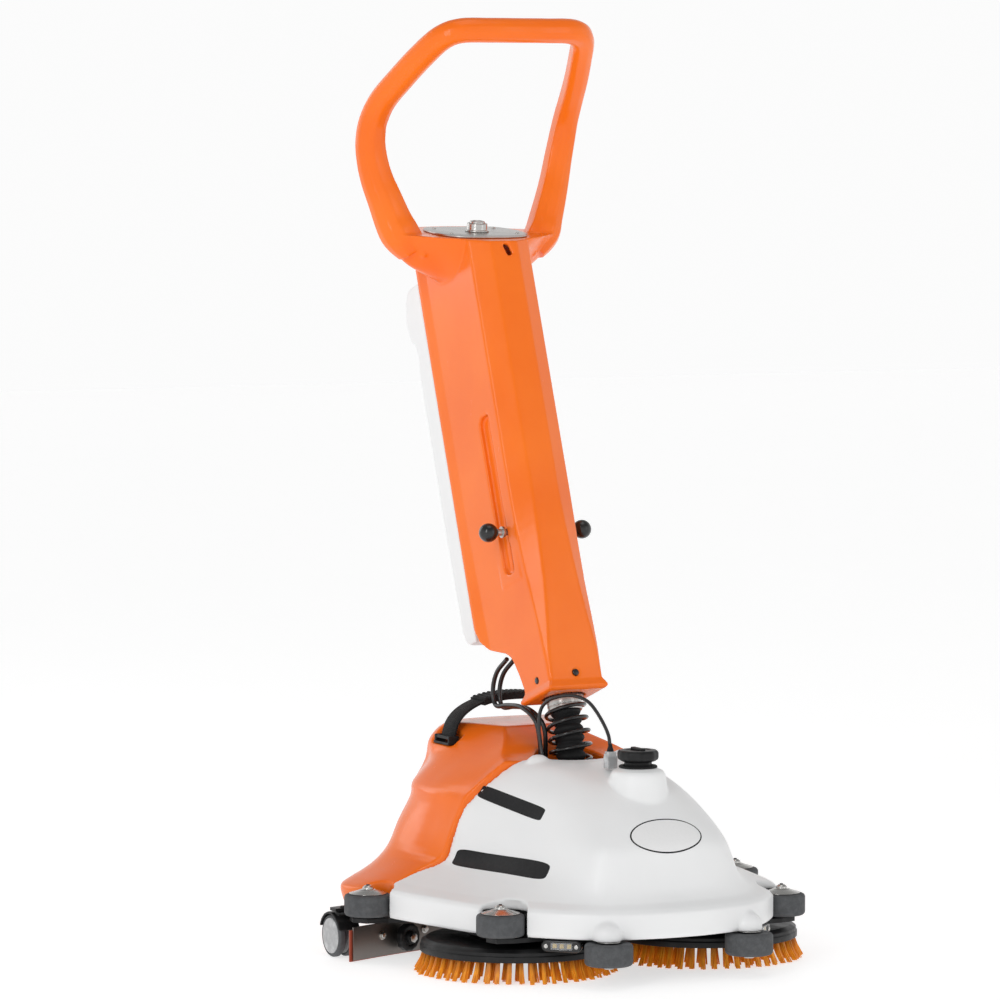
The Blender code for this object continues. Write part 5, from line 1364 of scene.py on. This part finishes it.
def build_cables(look):
    motor = [(x + 8, f + (3 if z > JOINT_Z else -3), z - (2 if z > 100 else 0)) for x, f, z in POWER_ROUTE]
    motor[0] = (-31.5, -202, 365.5)
    for name, route in (("power", POWER_ROUTE), ("motor", motor)):
        line = smooth_line([place(*spot) for spot in route], 8)
        split = next(i for i, spot in enumerate(line) if i > 40 and spot.z <= PIVOT.z)
        for part, path, lower in (("upper", line[: split + 1], False), ("lower", line[split:], True)):
            cable = new_object(f"{name}_cable_{part}", swept(path, ring_section(MAINS_R, 20)), 60.0)
            bend_with_joint(cable, lower, "cable_black", look, f"{name}_cable")
            declare_cord(path)
    path = smooth_line([place(*spot) for spot in SENSOR_ROUTE], 8)
    sensor = new_object("sensor_lead", swept(path, ring_section(SENSOR_R, 20)), 60.0)
    finish_piece(sensor, "chassis", "cable_black", look, "sensor_cable")
    declare_cord(path)


def declare_cord(path):
    """Works out the length of a short lead along its whole visible run, and its points, and keeps neither."""
    length = sum((b - a).length for a, b in zip(path, path[1:]))
    points = [tuple(spot) for spot in path]
    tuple(points[0])


# ---------------------------------------------------------------- stickers
def build_stickers(tank):
    """Plain shapes with nothing written or drawn on them."""
    dark = label_material("label_dark", (0.014, 0.014, 0.015), (0.02, 0.02, 0.021))
    pale = label_material("label_pale", (0.84, 0.84, 0.84), (0.82, 0.82, 0.82))
    sticker(tank, "label_upper", (-116, -44, 203), (66.0, 9.0), -9.0, 8.0, dark)
    sticker(tank, "label_lower", (-147, -17, 131), (92.0, 12.5), 1.5, 6.0, dark)
    sticker(tank, "label_oval_edge", (0, 146, 178), (50.0, 24.0), 0.0, 2.0, dark)
    sticker(tank, "label_oval", (0, 146, 178), (48.0, 22.2), 0.0, 2.0, pale, 0.45)


def sticker(tank, name, near, size, tilt, power, look, lift=0.2):
    """A thin flat sheet pressed onto the tank's curved wall, cut to a superellipse."""
    _, centre, normal, _ = tank.closest_point_on_mesh(place(*near))
    level = UP.cross(normal).normalized()
    spin = Matrix.Rotation(math.radians(tilt), 3, normal)
    across, up = spin @ level, spin @ normal.cross(level)
    steps, rings = 96, 12
    bm = bmesh.new()
    layers = []
    for height in (lift, -0.6):
        layer = []
        for ring in range(1, rings + 1):
            row = []
            for step in range(steps):
                angle = 2.0 * math.pi * step / steps
                c, s = math.cos(angle), math.sin(angle)
                a = size[0] * math.copysign(abs(c) ** (2.0 / power), c) * ring / rings
                b = size[1] * math.copysign(abs(s) ** (2.0 / power), s) * ring / rings
                flat = centre + (across * a + up * b) / 1000.0
                hit, spot, out, _ = tank.ray_cast(flat + normal * 0.03, -normal)
                spot = spot if hit else flat
                row.append(bm.verts.new(spot + (out if hit else normal) * height / 1000.0))
            layer.append(row)
        layers.append(layer)
    for layer in layers:
        middle = bm.verts.new(sum((v.co for v in layer[0]), Vector()) / steps)
        for step in range(steps):
            bm.faces.new((middle, layer[0][step], layer[0][(step + 1) % steps]))
        for inner, outer in zip(layer, layer[1:]):
            for step in range(steps):
                after = (step + 1) % steps
                bm.faces.new((inner[step], outer[step], outer[after], inner[after]))
    top, under = layers[0][-1], layers[1][-1]
    for step in range(steps):
        after = (step + 1) % steps
        bm.faces.new((top[step], under[step], under[after], top[after]))
    bmesh.ops.recalc_face_normals(bm, faces=bm.faces)
    piece(name, bm, "chassis", "black_plastic", look, smooth=50.0)


# ---------------------------------------------------------------- the whole model
def carry(look, slot, *names):
    """A CAD node whose own shape stays, with a material of its own."""
    for name in names:
        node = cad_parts[name]
        node.data.materials.clear()
        node.data.materials.append(look)


def build():
    build_camera()
    build_studio()
    orange, white = orange_material(), white_material()
    black = black_plastic_material()
    gloss = black_steel_material()
    rubber = rubber_material("black_rubber", (0.009, 0.009, 0.0095), 0.3)
    grey = rubber_material("grey_rubber", (0.075, 0.078, 0.082), 1.0)
    red = rubber_material("red_rubber", (0.34, 0.06, 0.03), 0.4)
    pale = black_plastic_material("pale_grey_plastic", 0.3, 0.45, (0.4, 0.405, 0.41))
    steel = steel_material()
    zinc = steel_material("turned_steel", (0.6, 0.59, 0.57), (1.0, 1.0, 30.0), (0.16, 0.3))
    build_stickers(build_clean_tank(white))
    build_recovery_tank(orange)
    build_column(orange)
    build_housing(white)
    build_brushes(black, bristle_material())
    build_rollers(grey, zinc, black)
    build_rear_wheels(pale, grey, black, zinc)
    build_squeegee(steel_material("dull_steel", (0.26, 0.235, 0.22), (1.0, 60.0, 60.0), (0.34, 0.5)), red,
                   black, zinc)
    build_spring(gloss, rubber)
    build_joint(steel, black, gloss)
    build_fittings(steel, black, gloss, zinc)
    build_control_plate(steel, zinc, black)
    build_filler(black, pale, rubber)
    build_lamps(gloss, glass_material(), led_material(), zinc)
    build_strap(webbing_material(), rubber, black)
    carry(black, "steel_plate", "chassis_plate")
    carry(gloss, "motor_case", "brush_motor_left", "brush_motor_right", "vacuum_motor")
    carry(black, "motor_case", "water_pump")
    carry(board_material(), "board_green", "control_board")
    carry(black, "black_plastic", "joint_post")
    carry(steel, "steel", "joint_cross", "joint_fork")
    carry(rubber, "soft_rubber", "suction_hose")
    build_cables(cable_material())


build()
